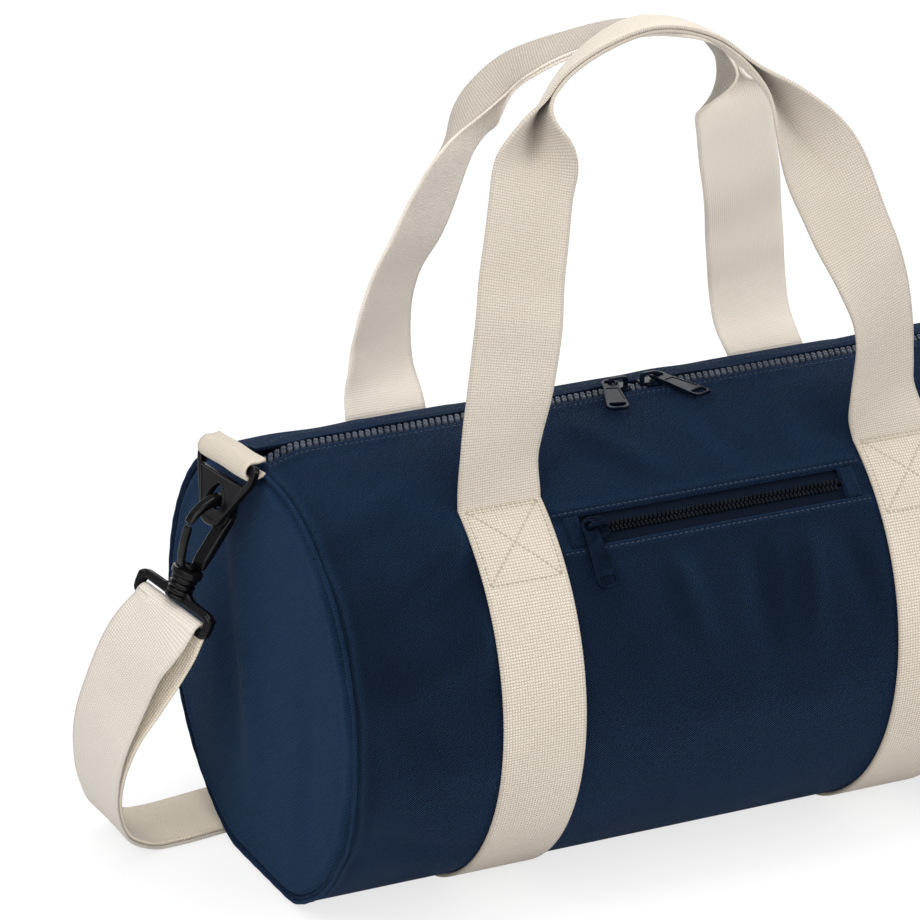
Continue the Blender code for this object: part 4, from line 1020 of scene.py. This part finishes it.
def make_pocket_ends():
    """The short cloth patches that close the pocket zip's ends."""
    for name, side in SIDES:
        x = side * np.linspace(POCKET_HALF - 0.0004, POCKET_TAPE_HALF, 7)
        t = POCKET_ANGLE + np.linspace(-POCKET_GAP, POCKET_GAP, 13) / RADIUS
        grid_x, grid_t = np.meshgrid(x, t, indexing="ij")
        share = (np.abs(grid_x) - POCKET_HALF) / 0.0065
        middle = barrel(grid_x, grid_t, 0.0001 + 0.0002 * bell(share - 0.1, 0.25))
        obj = strip(f"pocket_end_{name}", middle, PATCH_THICKNESS, t * RADIUS, x, [CANVAS])
        dress(obj, "bag", [f"pocket_tab_{name}"])


def make_pouch():
    """Lining bag behind the pocket zip: one folded sheet whose sides pinch shut."""
    half_width, depth, drop = 0.0655, 0.0095, 0.39 * RADIUS
    overlap, sunk, neck, corner = 0.0033, -0.0032, 0.0095, 0.004
    reach = (POCKET_TAPE_REACH - overlap) / RADIUS
    back_y, back_z = barrel(0, POCKET_ANGLE - reach, sunk)[1:]
    front_y, front_z = barrel(0, POCKET_ANGLE + reach, sunk)[1:]
    rear = back_y + 0.0009
    fore, bottom = rear - depth, AXIS - drop
    corners = (
        (back_y, back_z),
        (rear, back_z - neck),
        (rear, bottom + corner),
        ((rear + fore) / 2, bottom),
        (fore, bottom + corner),
        (fore, front_z - neck),
        (front_y, front_z),
    )
    path = np.array(smooth_path([Vector((0, y, z)) for y, z in corners], ROUTE_STEP))
    x = np.linspace(-half_width, half_width, 45)
    centre_y = (rear + fore) / 2
    pinch = 0.93 * bell(half_width - np.abs(x), 0.0035)
    sag = 0.0016 * np.cos(x / half_width * math.pi / 2) ** 2
    low = eased(path[:, 2], back_z, bottom)[:, None]
    middle = np.zeros((len(path), len(x), 3))
    middle[..., 0] = x[None, :]
    middle[..., 1] = centre_y + (path[:, 1:2] - centre_y) * (1 - pinch[None, :] * low)
    middle[..., 1] += 0.0008 * np.sin(x * 95 + 1.0)[None, :] * low
    middle[..., 2] = path[:, 2:3] + sag[None, :] * low * 0.4
    obj = strip("pocket_lining", middle, LINING_THICKNESS, x, run_length(path), [LINING])
    dress(obj, "bag", ["pocket_pouch"])


def make_bindings():
    """Folded tape over the raw edges inside both end seams."""
    for name, side in SIDES:
        t, w = np.linspace(0, TURN, 145), np.linspace(-BINDING_HALF, BINDING_HALF, 7)
        grid_t, grid_w = np.meshgrid(t, w, indexing="ij")
        x = side * (PANEL_HALF - BINDING_INSET) + grid_w
        crown = -0.0024 - 0.0003 * (grid_w / BINDING_HALF) ** 2
        middle = barrel(x, grid_t, crown + end_drop(x, wrapped(grid_t)))
        obj = strip(f"binding_{name}", middle, BINDING_THICKNESS, w, t * RADIUS, [TAPE])
        dress(obj, "bag", [f"seam_binding_{name}"])


# Routes


def smooth_path(points, spacing):
    """Stations on a smooth curve through every point."""
    points = [Vector(point) for point in points]
    chords = [far - near for near, far in zip(points, points[1:])]
    slopes = [chord.normalized() for chord in chords]
    headings = [slopes[0]]
    for near, far, before, after in zip(chords, chords[1:], slopes, slopes[1:]):
        whole = near.length + far.length
        headings.append(before * (far.length / whole) + after * (near.length / whole))
    headings.append(slopes[-1])
    route = [points[0]]
    for index, chord in enumerate(chords):
        start, end = points[index], points[index + 1]
        leave, arrive = headings[index] * chord.length, headings[index + 1] * chord.length
        steps = max(1, round(chord.length / spacing))
        for step in range(1, steps + 1):
            t = step / steps
            near = start * (1 + 2 * t) * (1 - t) ** 2 + leave * t * (1 - t) ** 2
            far = end * t * t * (3 - 2 * t) - arrive * t * t * (1 - t)
            route.append(near + far)
    return route


# Bands and handles, each pair of legs in one length of webbing

HANDLE_STEP = 0.0030
FRONT_RISE = 0.1743
REAR_RISE = 0.1673
# Height share: sideways share of the left leg, of the right leg, and the share of the depth
FRONT_LEGS = (
    (0.0, 1.0, 1.0, 1.0),
    (0.085, 0.992, 0.960, 0.960),
    (0.17, 0.972, 0.958, 0.965),
    (0.255, 0.947, 0.952, 0.985),
    (0.34, 0.914, 0.928, 0.960),
    (0.42, 0.882, 0.878, 0.920),
    (0.51, 0.832, 0.820, 0.795),
    (0.59, 0.779, 0.775, 0.690),
    (0.68, 0.722, 0.706, 0.570),
    (0.76, 0.667, 0.630, 0.450),
    (0.83, 0.622, 0.552, 0.335),
    (0.89, 0.520, 0.445, 0.240),
    (0.955, 0.322, 0.300, 0.140),
    (1.0, 0.0, 0.0, 0.085),
)
REAR_LEGS = (
    (0.0, 1.0, 1.0, 1.0),
    (0.085, 0.982, 0.968, 1.15),
    (0.18, 0.966, 0.956, 1.21),
    (0.26, 0.952, 0.935, 1.18),
    (0.34, 0.916, 0.912, 1.15),
    (0.46, 0.840, 0.853, 1.01),
    (0.60, 0.764, 0.776, 0.88),
    (0.68, 0.728, 0.730, 0.78),
    (0.77, 0.688, 0.678, 0.70),
    (0.84, 0.622, 0.628, 0.60),
    (0.90, 0.530, 0.540, 0.53),
    (0.95, 0.400, 0.400, 0.40),
    (0.98, 0.240, 0.240, 0.32),
    (1.0, 0.0, 0.0, 0.28),
)
# Where the fold into half width starts and ends on each leg, as shares of the height
FRONT_FOLD = ((0.69, 0.872), (0.56, 0.91))
REAR_FOLD = ((0.65, 0.90), (0.70, 0.85))
# How far each leg is turned about its own length: share of the height, degrees
FRONT_TWIST = (
    (
        (0, 7), (0.08, 8), (0.17, 3), (0.25, -5), (0.42, -10), (0.58, -6), (0.7, -3), (0.78, -12),
        (0.86, -34), (0.93, -22), (1, 0),
    ),
    ((0, 14), (0.17, 18), (0.25, 24), (0.33, 22), (0.42, 15), (0.5, 6), (0.6, 0), (1, 0)),
)
REAR_TWIST = (
    ((0, 9), (0.08, 17), (0.17, 24), (0.33, 33), (0.5, 28), (0.67, 36), (0.76, 34), (0.87, 22), (1, 4)),
    ((0, 0), (0.2, -3), (0.8, -3), (0.9, 0), (1, 0)),
)
# Places across the webbing, closer together at its middle, where it folds
ACROSS = np.array([math.copysign(abs(s) * (0.62 + 0.38 * s * s), s) for s in np.linspace(-1, 1, 27)])


def handle_course(facing, rise, legs, ends):
    """Places, widthways directions, fold and height share from one end under the bag to the other."""
    middle_offset = GAP + WEBBING / 2
    angles = lines(STITCH_ANGLE, math.pi, HANDLE_STEP / RADIUS)[::-1]
    band = barrel(-BAND_X, facing * -angles, middle_offset)[:-1]
    foot = Vector(barrel(-BAND_X, facing * -STITCH_ANGLE, middle_offset))

    def leg(column, side):
        return [
            Vector((side * row[column] * BAND_X, facing * row[3] * abs(foot.y), foot.z + row[0] * rise))
            for row in legs
        ]

    route = np.array(smooth_path(leg(1, -1) + leg(2, 1)[-2::-1], HANDLE_STEP))
    ways = unit(np.gradient(route, axis=0))
    sides = np.stack([ways[:, 2], np.zeros(len(ways)), -ways[:, 0]], axis=-1)
    share = (route[:, 2] - foot.z) / rise
    sides[:, 2] *= eased(share, 0, 0.2)
    sides[0], sides[-1] = (1, 0, 0), (-1, 0, 0)
    left = np.arange(len(route)) < np.argmin(np.abs(route[:, 0]))
    fold = np.where(left, eased(share, *ends[0]), eased(share, *ends[1])) * math.pi / 2
    flat, none = np.tile((1.0, 0.0, 0.0), (len(band), 1)), np.zeros(len(band))
    places = np.concatenate([band, route, (band * (-1, 1, 1))[::-1]])
    sides = np.concatenate([flat, unit(sides), -flat])
    fold, share = (np.concatenate([none, part, none]) for part in (fold, share))
    left = np.arange(len(places)) < len(band) + left.sum()
    step = np.arange(len(places))
    from_foot = np.minimum(step, step[::-1]) - len(band)
    return places, sides, fold, share, left, from_foot


def handle_turns(twist, share, left, from_foot):
    """How far the webbing is turned about its own length, in radians, from end to end of the piece."""
    left_turns, right_turns = (np.interp(share, *zip(*leg)) for leg in twist)
    turns = np.radians(np.where(left, left_turns, -right_turns))
    smooth = np.convolve(np.pad(turns, 4, mode="edge"), np.ones(9) / 9, mode="valid")
    return smooth * eased(from_foot, 0, 7)


def make_handle_webbing(name, facing, course, twist, nodes, smooth):
    places, sides, fold, share, left, from_foot = course
    turns = handle_turns(twist, share, left, from_foot)[:, None]
    ways = unit(np.gradient(places, axis=0))
    for index in range(1, len(sides)):
        if np.dot(sides[index], sides[index - 1]) < 0:
            sides[index] *= -1
    sides = sides * np.cos(turns) + np.cross(ways, sides) * np.sin(turns)
    to_edge = unit(np.cross(sides, ways))[:, None, :]
    side = sides[:, None, :]
    half_width = BAND_WIDTH / 2
    w = ACROSS[None, :, None]
    out = np.abs(w) * half_width
    sine, cosine = np.sin(fold)[:, None, None], np.cos(fold)[:, None, None]
    crease = (WEBBING / 2 + 0.0001) * sine * np.clip(out / 0.0016, 0, 1)
    belly = 0.0005 * np.sin(np.clip(out / half_width, 0, 1) * math.pi) * sine**4
    cup = 0.0008 * (1 - w**2) * cosine * eased(from_foot, 4, 14)[:, None, None]
    middle = places[:, None, :] - to_edge * sine * half_width / 2
    middle = middle + side * np.sign(w) * (crease + belly + out * cosine) + to_edge * (out * sine - cup)
    face, back = (1, 0) if facing > 0 else (0, 1)
    slots, backs = ([slot if leg else 2 for leg in from_foot[:-1] >= 0] for slot in (face, back))
    # For the rear handle the smooth face is the lighter copy, with painted light.
    materials = [smooth, LEG_WEB, RIBBED]
    obj = strip(name, middle, WEBBING, ACROSS * half_width, run_length(places), materials, slots, backs)
    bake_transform(obj)
    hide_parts(*nodes)


def make_box_stitches(facing, name):
    """A sewn box with its cross, at the foot of each leg."""
    runs = []
    half = BAND_WIDTH / 2 - 0.0022
    top, low, second = STITCH_ANGLE + math.radians(0.8), BOX_END_ANGLE, math.radians(0.9)
    corners = box(-half, half, top, low)
    segments = list(zip(corners, corners[1:] + corners[:1]))
    segments += [(corners[0], corners[2]), (corners[1], corners[3])]
    segments += [((-half, top + second), (half, top + second))]
    share = np.linspace(0, 1, 30)
    for centre in (-BAND_X, BAND_X):
        for (x0, t0), (x1, t1) in segments:
            t = -facing * (t0 + (t1 - t0) * share)
            path = barrel(centre + x0 + (x1 - x0) * share, t, GAP + WEBBING)
            runs.append(stitch_path(path, barrel_normal(t), BOX_PITCH))
    obj = capsules(name, *gather_runs(runs), CREAM_RADIUS, CREAM_THREAD, 0.5)
    dress(obj, "bag", ())


# Hardware of the left end, mirrored for the right


def axes_matrix(origin, across, up):
    across, up = Vector(across).normalized(), Vector(up).normalized()
    matrix = Matrix((across, up, across.cross(up))).transposed().to_4x4()
    matrix.translation = origin
    return matrix


def tilted_frame(origin, yaw, tilt, roll=0.0):
    """X away from the bag and Y up, turned by these angles in degrees."""
    yaw, tilt, roll = math.radians(yaw), math.radians(tilt), math.radians(roll)
    outward = Matrix.Rotation(yaw, 3, "Z") @ Vector((-1, 0, 0))
    rearward = Matrix.Rotation(yaw, 3, "Z") @ Vector((0, 1, 0))
    lean = Matrix.Rotation(roll, 3, outward) @ Matrix.Rotation(tilt, 3, rearward)
    return axes_matrix(origin, lean @ outward, lean @ Vector((0, 0, 1)))


TAB_YAW = 7
TAB_STEP = 0.0009
TAB_INSET = 0.0020
# Thicknesses of the ring's and the strap eye's layers
RING_WEB, RING_RIM, RING_LIP = 0.0020, 0.0031, 0.0027
EYE_YOKE, EYE_CHEEK = 0.0034, 0.0050
TAB_BAR = Vector((-HALF - 0.0069, 0.0085, AXIS + RADIUS - 0.0023))
RING_FRAME = tilted_frame(TAB_BAR, TAB_YAW, 21)
RING_FLOOR = -0.0211
HOOK_TOP = RING_FRAME @ Vector((0, 0.0008 + RING_FLOOR, 0))
HOOK_FRAME = tilted_frame(HOOK_TOP, 17, 20, -11.5)
PLATE_VIEW = axes_matrix((0, 0, 0), (0, 0, 1), (0, 1, 0))
HOOK_WIDTH, HOOK_HEIGHT, HOOK_ARCH, HOOK_DEPTH = 0.0126, 0.0315, 0.0056, 0.0046


def make_ring():
    """Moulded triangle: bar and slot for the webbing, pointed hole for the hook, thicker rim."""
    half, tip, end = 0.0215, 0.0085, -0.0285
    outline = [(half - 0.0012, 0.0022), (half, 0.0008), (half, -0.0048)]
    outline += [(tip, end + tip * 0.6), (tip * 0.72, end + tip * 0.14), (tip * 0.3, end)]
    outline = filleted(symmetric(outline), 0.0030, 4)
    slot = filleted(symmetric([(0.0187, -0.0022), (0.0187, -0.0042), (0.0165, -0.0074)]), 0.0008, 3)
    hole = [(0.0042, -0.0143), (0.0055, -0.0173), (0.0054, -0.0196), (0.0038, RING_FLOOR)]
    hole = filleted([(0, -0.0103)] + symmetric(hole), 0.0016, 3)
    field = symmetric([(0.0166, -0.0086), (0.0145, -0.0108), (0.0072, -0.0232), (0.0045, -0.0254)])
    field = filleted(field, 0.0016, 3)
    lip = [(x * 1.28, (y + 0.0168) * 1.18 - 0.0168) for x, y in hole]
    view = RING_FRAME @ PLATE_VIEW
    pieces = [
        plate("ring_web", [outline, slot, hole], RING_WEB, 0.0004, view, PLASTIC),
        plate("ring_rim", [outline, slot, field], RING_RIM, 0.0007, view, PLASTIC, 3),
        plate("ring_lip", [lip, hole], RING_LIP, 0.0004, view, PLASTIC),
    ]
    return joined("ring_piece_left", pieces)


def make_tab():
    """Webbing folded over the ring's bar and sewn into the end seam."""
    radius = 0.0030 + WEBBING / 2
    turns = [math.radians(112) - math.radians(224) * step / 14 for step in range(15)]
    route = [(-0.0095, 0.0011 + radius * 0.62), (-0.0060, 0.0007 + radius * 0.80)]
    route += arc(radius, turns)
    route += [(-0.0060, 0.0007 - radius * 0.86), (-0.0095, 0.0004 - radius * 0.60)]
    route = smooth_path([Vector((x, y, 0)) for x, y in route], TAB_STEP)
    place = tilted_frame(TAB_BAR, TAB_YAW, 0)
    w = np.linspace(-1, 1, 19)
    middle = np.zeros((len(route), len(w), 3))
    for index, point in enumerate(route):
        for column, across in enumerate(w):
            swell = 0.0002 * math.sin(across * 5 + 1.0)
            middle[index, column] = place @ Vector((point.x, point.y + swell, across * BAND_WIDTH / 2))
    along = run_length(np.array([place @ point for point in route]))
    keep = middle[:, :, 0].max(axis=1) < -HALF + TAB_INSET
    first, last = int(np.argmax(keep)), len(keep) - int(np.argmax(keep[::-1]))
    across = w * BAND_WIDTH / 2
    return strip("tab_loop_left", middle[first:last], WEBBING, across, along[first:last], [TAB_WEB])


def make_hook():
    """Snap hook: strong spine, curled claw over the ring, collar at the foot."""
    out = ((-0.52, -0.92), (-0.58, -0.82), (-0.78, -0.51), (-0.95, -0.22), (-1.0, -0.03))
    arch = ((-0.89, 0.6), (-0.6, 1.0), (-0.16, 1.0), (0.27, 0.75), (0.6, 0.14))
    claw = ((0.84, -0.115), (0.95, -0.273), (0.80, -0.292), (0.66, -0.178), (0.43, -0.076), (0.19, -0.02))
    under = ((0.0, 0.0), (-0.28, 0.0), (-0.5, -0.025), (-0.6, -0.127))
    inner = ((-0.57, -0.286), (-0.44, -0.54), (-0.31, -0.76), (-0.29, -0.92))
    points = scaled(out, HOOK_WIDTH, HOOK_HEIGHT) + scaled(arch, HOOK_WIDTH, HOOK_ARCH)
    points += scaled(claw + under + inner, HOOK_WIDTH, HOOK_HEIGHT)
    spine = ((-0.50, -0.90), (-0.62, -0.76), (-0.82, -0.46), (-0.95, -0.24), (-0.92, -0.05))
    spine += ((-0.70, -0.14), (-0.56, -0.30), (-0.42, -0.55), (-0.28, -0.78), (-0.30, -0.90))
    spine = filleted(scaled(spine, HOOK_WIDTH, HOOK_HEIGHT), 0.0014, 3)
    collar = [(0.0024, -0.0286), (0.0056, -0.0286), (0.0064, -0.0290), (0.0066, -0.0297)]
    collar += [(0.0066, -0.0312), (0.0063, -0.0318), (0.0056, -0.0320), (0.0024, -0.0320)]
    pieces = [
        plate("hook_body", [filleted(points, 0.0016, 3)], HOOK_DEPTH, 0.0014, HOOK_FRAME, PLASTIC, 4),
        plate("hook_spine", [spine], HOOK_DEPTH + 0.0022, 0.0013, HOOK_FRAME, PLASTIC, 3),
        turned("hook_collar", collar, HOOK_FRAME, PLASTIC),
    ]
    return joined("hook_piece_left", pieces)


def make_gate():
    """Thin sprung leaf from the collar up to the claw's tip."""
    outline = ((0.89, -0.3135), (0.71, -0.3135), (0.59, -0.571), (0.43, -0.778))
    outline += ((0.31, -0.886), (0.49, -0.886), (0.62, -0.778), (0.78, -0.571))
    outline = filleted(scaled(outline, HOOK_WIDTH, HOOK_HEIGHT), 0.0012, 4)
    piece = plate("gate_leaf", [outline], HOOK_DEPTH * 0.78, 0.0007, HOOK_FRAME, PLASTIC, 3)
    return joined("gate_piece_left", [piece])


def make_eye():
    """Strap eye: ribbed swivel barrel on a yoke whose arms hold the bar for the webbing."""
    half, arm = 0.0232, 0.0192
    outline = [(0.0052, -0.0370), (0.0085, -0.0388), (half * 0.86, -0.0391)]
    outline += [(half, -0.0410), (half, -0.0484), (half * 0.9, -0.0504)]
    outline = filleted(symmetric(outline), 0.0034, 4)
    slot = filleted(symmetric([(arm - 0.0004, -0.0428), (arm, -0.0440), (arm, -0.0468)]), 0.0006, 2)
    view = HOOK_FRAME @ PLATE_VIEW
    pieces = [plate("eye_yoke", [outline, slot], EYE_YOKE, 0.0010, view, PLASTIC, 3)]
    cheek = ((0.0182, -0.0396), (0.0228, -0.0408), (0.0228, -0.0470), (0.0202, -0.0488), (0.0196, -0.0440))
    for side in (1, -1):
        outline = filleted(scaled(cheek, side, 1), 0.0012, 3)
        pieces.append(plate("eye_cheek", [outline], EYE_CHEEK, 0.0012, view, PLASTIC, 3))
    top, bottom, ribs = -0.0323, -0.0424, 4
    rib = (top - bottom) / ribs
    profile = [(0.0001, -0.0269), (0.0024, -0.0269), (0.0028, -0.0273), (0.0028, -0.0282), (0.0020, -0.0283)]
    profile.append((0.0020, top))
    steps = ((0.0046, 0), (0.0053, 0.10), (0.0055, 0.30), (0.0055, 0.62), (0.0052, 0.78), (0.0044, 0.86))
    for index in range(ribs):
        profile += [(radius, top - index * rib - rib * share) for radius, share in steps]
    profile += [(0.0040, bottom), (0.0001, bottom)]
    pieces.append(turned("eye_stem", profile, HOOK_FRAME, PLASTIC))
    return joined("eye_piece_left", pieces)


def make_end_hardware():
    pieces = (
        ("ring", make_ring(), "hardware"),
        ("hook", make_hook(), "hardware"),
        ("gate", make_gate(), "hardware"),
        ("strap_eye", make_eye(), "hardware"),
        ("tab", make_tab(), "webbing"),
    )
    for kind, left, slot in pieces:
        right = mirrored(left, left.name.replace("_left", "_right"))
        for side, obj in (("left", left), ("right", right)):
            node = f"{kind}_{side}"
            dress(obj, "bag" if kind == "tab" else node, [node])


# Shoulder strap

# Shares of the drop from the eye to the ground: outward bow, way back and height
DROP_SHARES = (
    (0.817, 0.148, 0.859),
    (0.929, 0.322, 0.680),
    (1.0, 0.507, 0.497),
    (0.989, 0.664, 0.346),
    (0.925, 0.798, 0.208),
    (0.771, 0.926, 0.075),
    (0.537, 1.0, 0.009),
)
# How far apart the two plies hang at each of those places
PLY_SPREADS = (0.0110, 0.0120, 0.0095, 0.0062, 0.0038, 0.0025, 0.0021)
# Shares of the half length, and of the way back to the adjuster
GROUND_SHARES = ((1.097, 0.077), (1.028, 0.181), (0.635, 0.839))
BOW = 0.0556
EYE_STEPS = 9
BAR_DROP = 0.0486
BAR_RADIUS = math.hypot(0.0034, 0.0036) / 2 + GAP + WEBBING / 2
GROUND = GAP + WEBBING / 2
PLY = WEBBING + 0.0006
CROSSING = 0.002
ADJUSTER_BAR = 0.0036
ADJUSTER_DEPTH = 0.0024
ADJUSTER_HALF = BAND_WIDTH / 2 + 0.0011 + ADJUSTER_BAR
ADJUSTER_LONG = 0.0145
ADJUSTER_Y = RADIUS + GAP + WEBBING - ADJUSTER_HALF
ADJUSTER_FLOOR = GROUND + PLY + WEBBING / 2 + GAP
LANDING_Y = 0.616 * RADIUS


def eye_turn(start, end):
    """The strap's way round the bar of its eye."""
    turns = [start + (end - start) * step / EYE_STEPS for step in range(EYE_STEPS + 1)]
    return [HOOK_FRAME @ Vector((x, y - BAR_DROP, 0)) for x, y in arc(BAR_RADIUS, turns)]


def drop_route(inner):
    """From the eye down to the ground. The inner ply hangs closer to the bag."""
    eye = HOOK_FRAME @ Vector((0, -BAR_DROP, 0))
    route = []
    for (bow, back, height), spread in zip(DROP_SHARES, PLY_SPREADS):
        y = eye.y + back * (LANDING_Y - eye.y)
        place = Vector((-HALF - bow * BOW, y, GROUND + height * (eye.z - GROUND)))
        if inner:
            lean = height / DROP_SHARES[0][2]
            place += Vector((spread * lean, 0, spread * (1 - lean)))
        route.append(place)
    return route


def ground_route(height):
    """Along the ground behind the bag to the adjuster."""
    route = [(-along * HALF, LANDING_Y + back * (ADJUSTER_Y - LANDING_Y)) for along, back in GROUND_SHARES]
    route += [(-ADJUSTER_LONG, ADJUSTER_Y), (ADJUSTER_BAR - ADJUSTER_LONG, ADJUSTER_Y)]
    return [Vector((x, y, height)) for x, y in route]


def strap_strip(name, points, under_count):
    """Webbing along these points. Up to the point of this number it shows the under ply's ribbed face,
    lightened and warmed with painted light against the shade of the ply over it.
    """
    route = np.array(smooth_path(points, ROUTE_STEP))
    bar = HOOK_FRAME.to_3x3() @ Vector((0, 0, 1))
    share = eased(route[:, 2], 0, max(route[:, 2].max(), 0.1) * 0.8)[:, None]
    turned_x = np.where(route[:, 0] > 0, -1, 1) * bar.x
    facing = np.stack(np.broadcast_arrays(turned_x, bar.y, bar.z), axis=-1)
    sides = unit(facing * share + np.array([0, 1.0, 0]) * (1 - share))
    ways = unit(np.gradient(route, axis=0))
    sides = unit(sides - ways * np.sum(ways * sides, axis=1)[:, None])
    across = np.linspace(-1, 1, 21) * BAND_WIDTH / 2
    middle = route[:, None, :] + sides[:, None, :] * across[None, :, None]
    under = np.linalg.norm(route - np.array(points[under_count]), axis=1).argmin() if under_count else 0
    slots = [int(station < under) for station in range(len(route) - 1)]
    return strip(name, middle, WEBBING, across, run_length(route), [STRAP, STRAP_UNDER_RIBBED_PAINTED_LIGHT], slots)


def make_strap():
    over = ADJUSTER_FLOOR + ADJUSTER_DEPTH + GAP + WEBBING
    under = ADJUSTER_FLOOR - GAP - WEBBING / 2
    inner = eye_turn(math.pi / 2, math.pi) + drop_route(True) + ground_route(GROUND + PLY)
    outer = eye_turn(math.pi / 2, 0)[1:] + drop_route(False) + ground_route(GROUND)
    outer += [Vector((-CROSSING, ADJUSTER_Y, under)), Vector((CROSSING, ADJUSTER_Y, under))]
    left = [Vector((-CROSSING, ADJUSTER_Y, over))] + inner[::-1] + outer
    inward = HOOK_FRAME.to_3x3() @ Vector((-PLY, 0, 0))
    right = [drop_route(False)[0] + inward] + eye_turn(math.pi, 0) + drop_route(False) + ground_route(GROUND)
    right = [Vector((-place.x, place.y, place.z)) for place in right] + [Vector((CROSSING, ADJUSTER_Y, over))]
    for (name, side), points, under_count in zip(SIDES, (left, right), (len(inner) - 1, 0)):
        piece = strap_strip(f"strap_{name}", points, under_count)
        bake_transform(piece)
        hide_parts("shoulder_strap")


def make_adjuster():
    side, inner = ADJUSTER_HALF - ADJUSTER_BAR, ADJUSTER_LONG - ADJUSTER_BAR
    outer = filleted(box(-ADJUSTER_LONG, ADJUSTER_LONG, -ADJUSTER_HALF, ADJUSTER_HALF), 0.0030, 4)
    slots = [filleted(box(s * 0.0020, s * inner, -side, side), 0.0006, 2) for s in (1, -1)]
    place = Matrix.Translation((0, ADJUSTER_Y, ADJUSTER_FLOOR + ADJUSTER_DEPTH / 2))
    piece = plate("slide_frame", [outer] + slots, ADJUSTER_DEPTH, 0.0007, place, PLASTIC, 3)
    dress(joined("slide_buckle", [piece]), "bag", ["strap_adjuster"])


# Stage

FLOOR_HALF = 6.0
FLOOR_Z = -0.0002
LOOK_AT = Vector((0, 0, 0.14))
# Place, width and height, and power in watts
LAMPS = {
    "key": ((-1.5, -0.8, 1.7), (1.2, 1.2), 23),
    "front": ((-0.6, -1.9, 0.85), (2.6, 0.9), 20),
    "right": ((1.6, -1.5, 0.95), (1.4, 1.2), 22),
    "top": ((0.0, -0.1, 2.0), (1.6, 1.0), 21),
    "rear": ((0.9, 1.6, 0.9), (1.2, 1.2), 11),
}


def make_stage():
    """A pale floor and backdrop, brighter to the camera and in mirrors than as a source of light."""
    corners = box(-FLOOR_HALF, FLOOR_HALF, -FLOOR_HALF, FLOOR_HALF)
    floor = mesh_object("floor", [(x, y, FLOOR_Z) for x, y in corners], [(0, 1, 2, 3)])
    material = bpy.data.materials.new("floor_white")
    material.use_nodes = True
    made = Nodes(material.node_tree)
    made.tree.nodes.clear()
    glow = made.add("ShaderNodeEmission", Strength=1.0)
    seen = made.layer(0.28, glow, made.add("ShaderNodeBsdfDiffuse", Color=(0.95, 0.95, 0.95, 1)))
    unseen = made.add("ShaderNodeBsdfDiffuse", Color=(0.82, 0.82, 0.82, 1))
    ray = made.add("ShaderNodeLightPath").outputs
    direct = made.calc("MAXIMUM", ray["Is Camera Ray"], ray["Is Glossy Ray"])
    direct = made.calc("MAXIMUM", direct, ray["Is Transmission Ray"])
    made.add("ShaderNodeOutputMaterial", Surface=made.layer(direct, unseen, seen).outputs[0])
    floor.data.materials.append(material)

    world = bpy.data.worlds.new("studio")
    scene.world = world
    world.use_nodes = True
    made = Nodes(world.node_tree)
    ray = made.add("ShaderNodeLightPath").outputs
    background = world.node_tree.nodes["Background"]
    made.put(background, "Color", made.mix(ray["Is Camera Ray"], (0.46, 0.47, 0.49), (1.0, 1.0, 1.0)))
    made.put(background, "Strength", 1.0)


def make_lights():
    for name, (place, size, power) in LAMPS.items():
        data = bpy.data.lights.new(name, "AREA")
        data.shape = "RECTANGLE"
        data.size, data.size_y = size
        data.energy = power
        lamp = placed(name, data)
        lamp.location = place
        lamp.rotation_euler = (LOOK_AT - Vector(place)).to_track_quat("-Z", "Y").to_euler()


def build():
    make_body_cloth()
    for name, side in SIDES:
        make_end_cloth(f"end_cloth_{name}", side, f"end_panel_{name}")
        make_seam_roll(f"seam_roll_{name}", side)
    make_cloth_stitches()
    make_zips()
    make_pocket_ends()
    make_pouch()
    make_bindings()
    nodes = ["handle_front", "webbing_band_left"]
    course = handle_course(-1, FRONT_RISE, FRONT_LEGS, FRONT_FOLD)
    make_handle_webbing("webbing_front", -1, course, FRONT_TWIST, nodes, SMOOTH)
    nodes = ["handle_rear", "webbing_band_right"]
    course = handle_course(1, REAR_RISE, REAR_LEGS, REAR_FOLD)
    make_handle_webbing("webbing_rear", 1, course, REAR_TWIST, nodes, REAR_SMOOTH_PAINTED_LIGHT)
    make_box_stitches(-1, "box_stitches_front")
    make_box_stitches(1, "box_stitches_rear")
    make_end_hardware()
    make_strap()
    make_adjuster()
    make_stage()
    make_lights()


build()
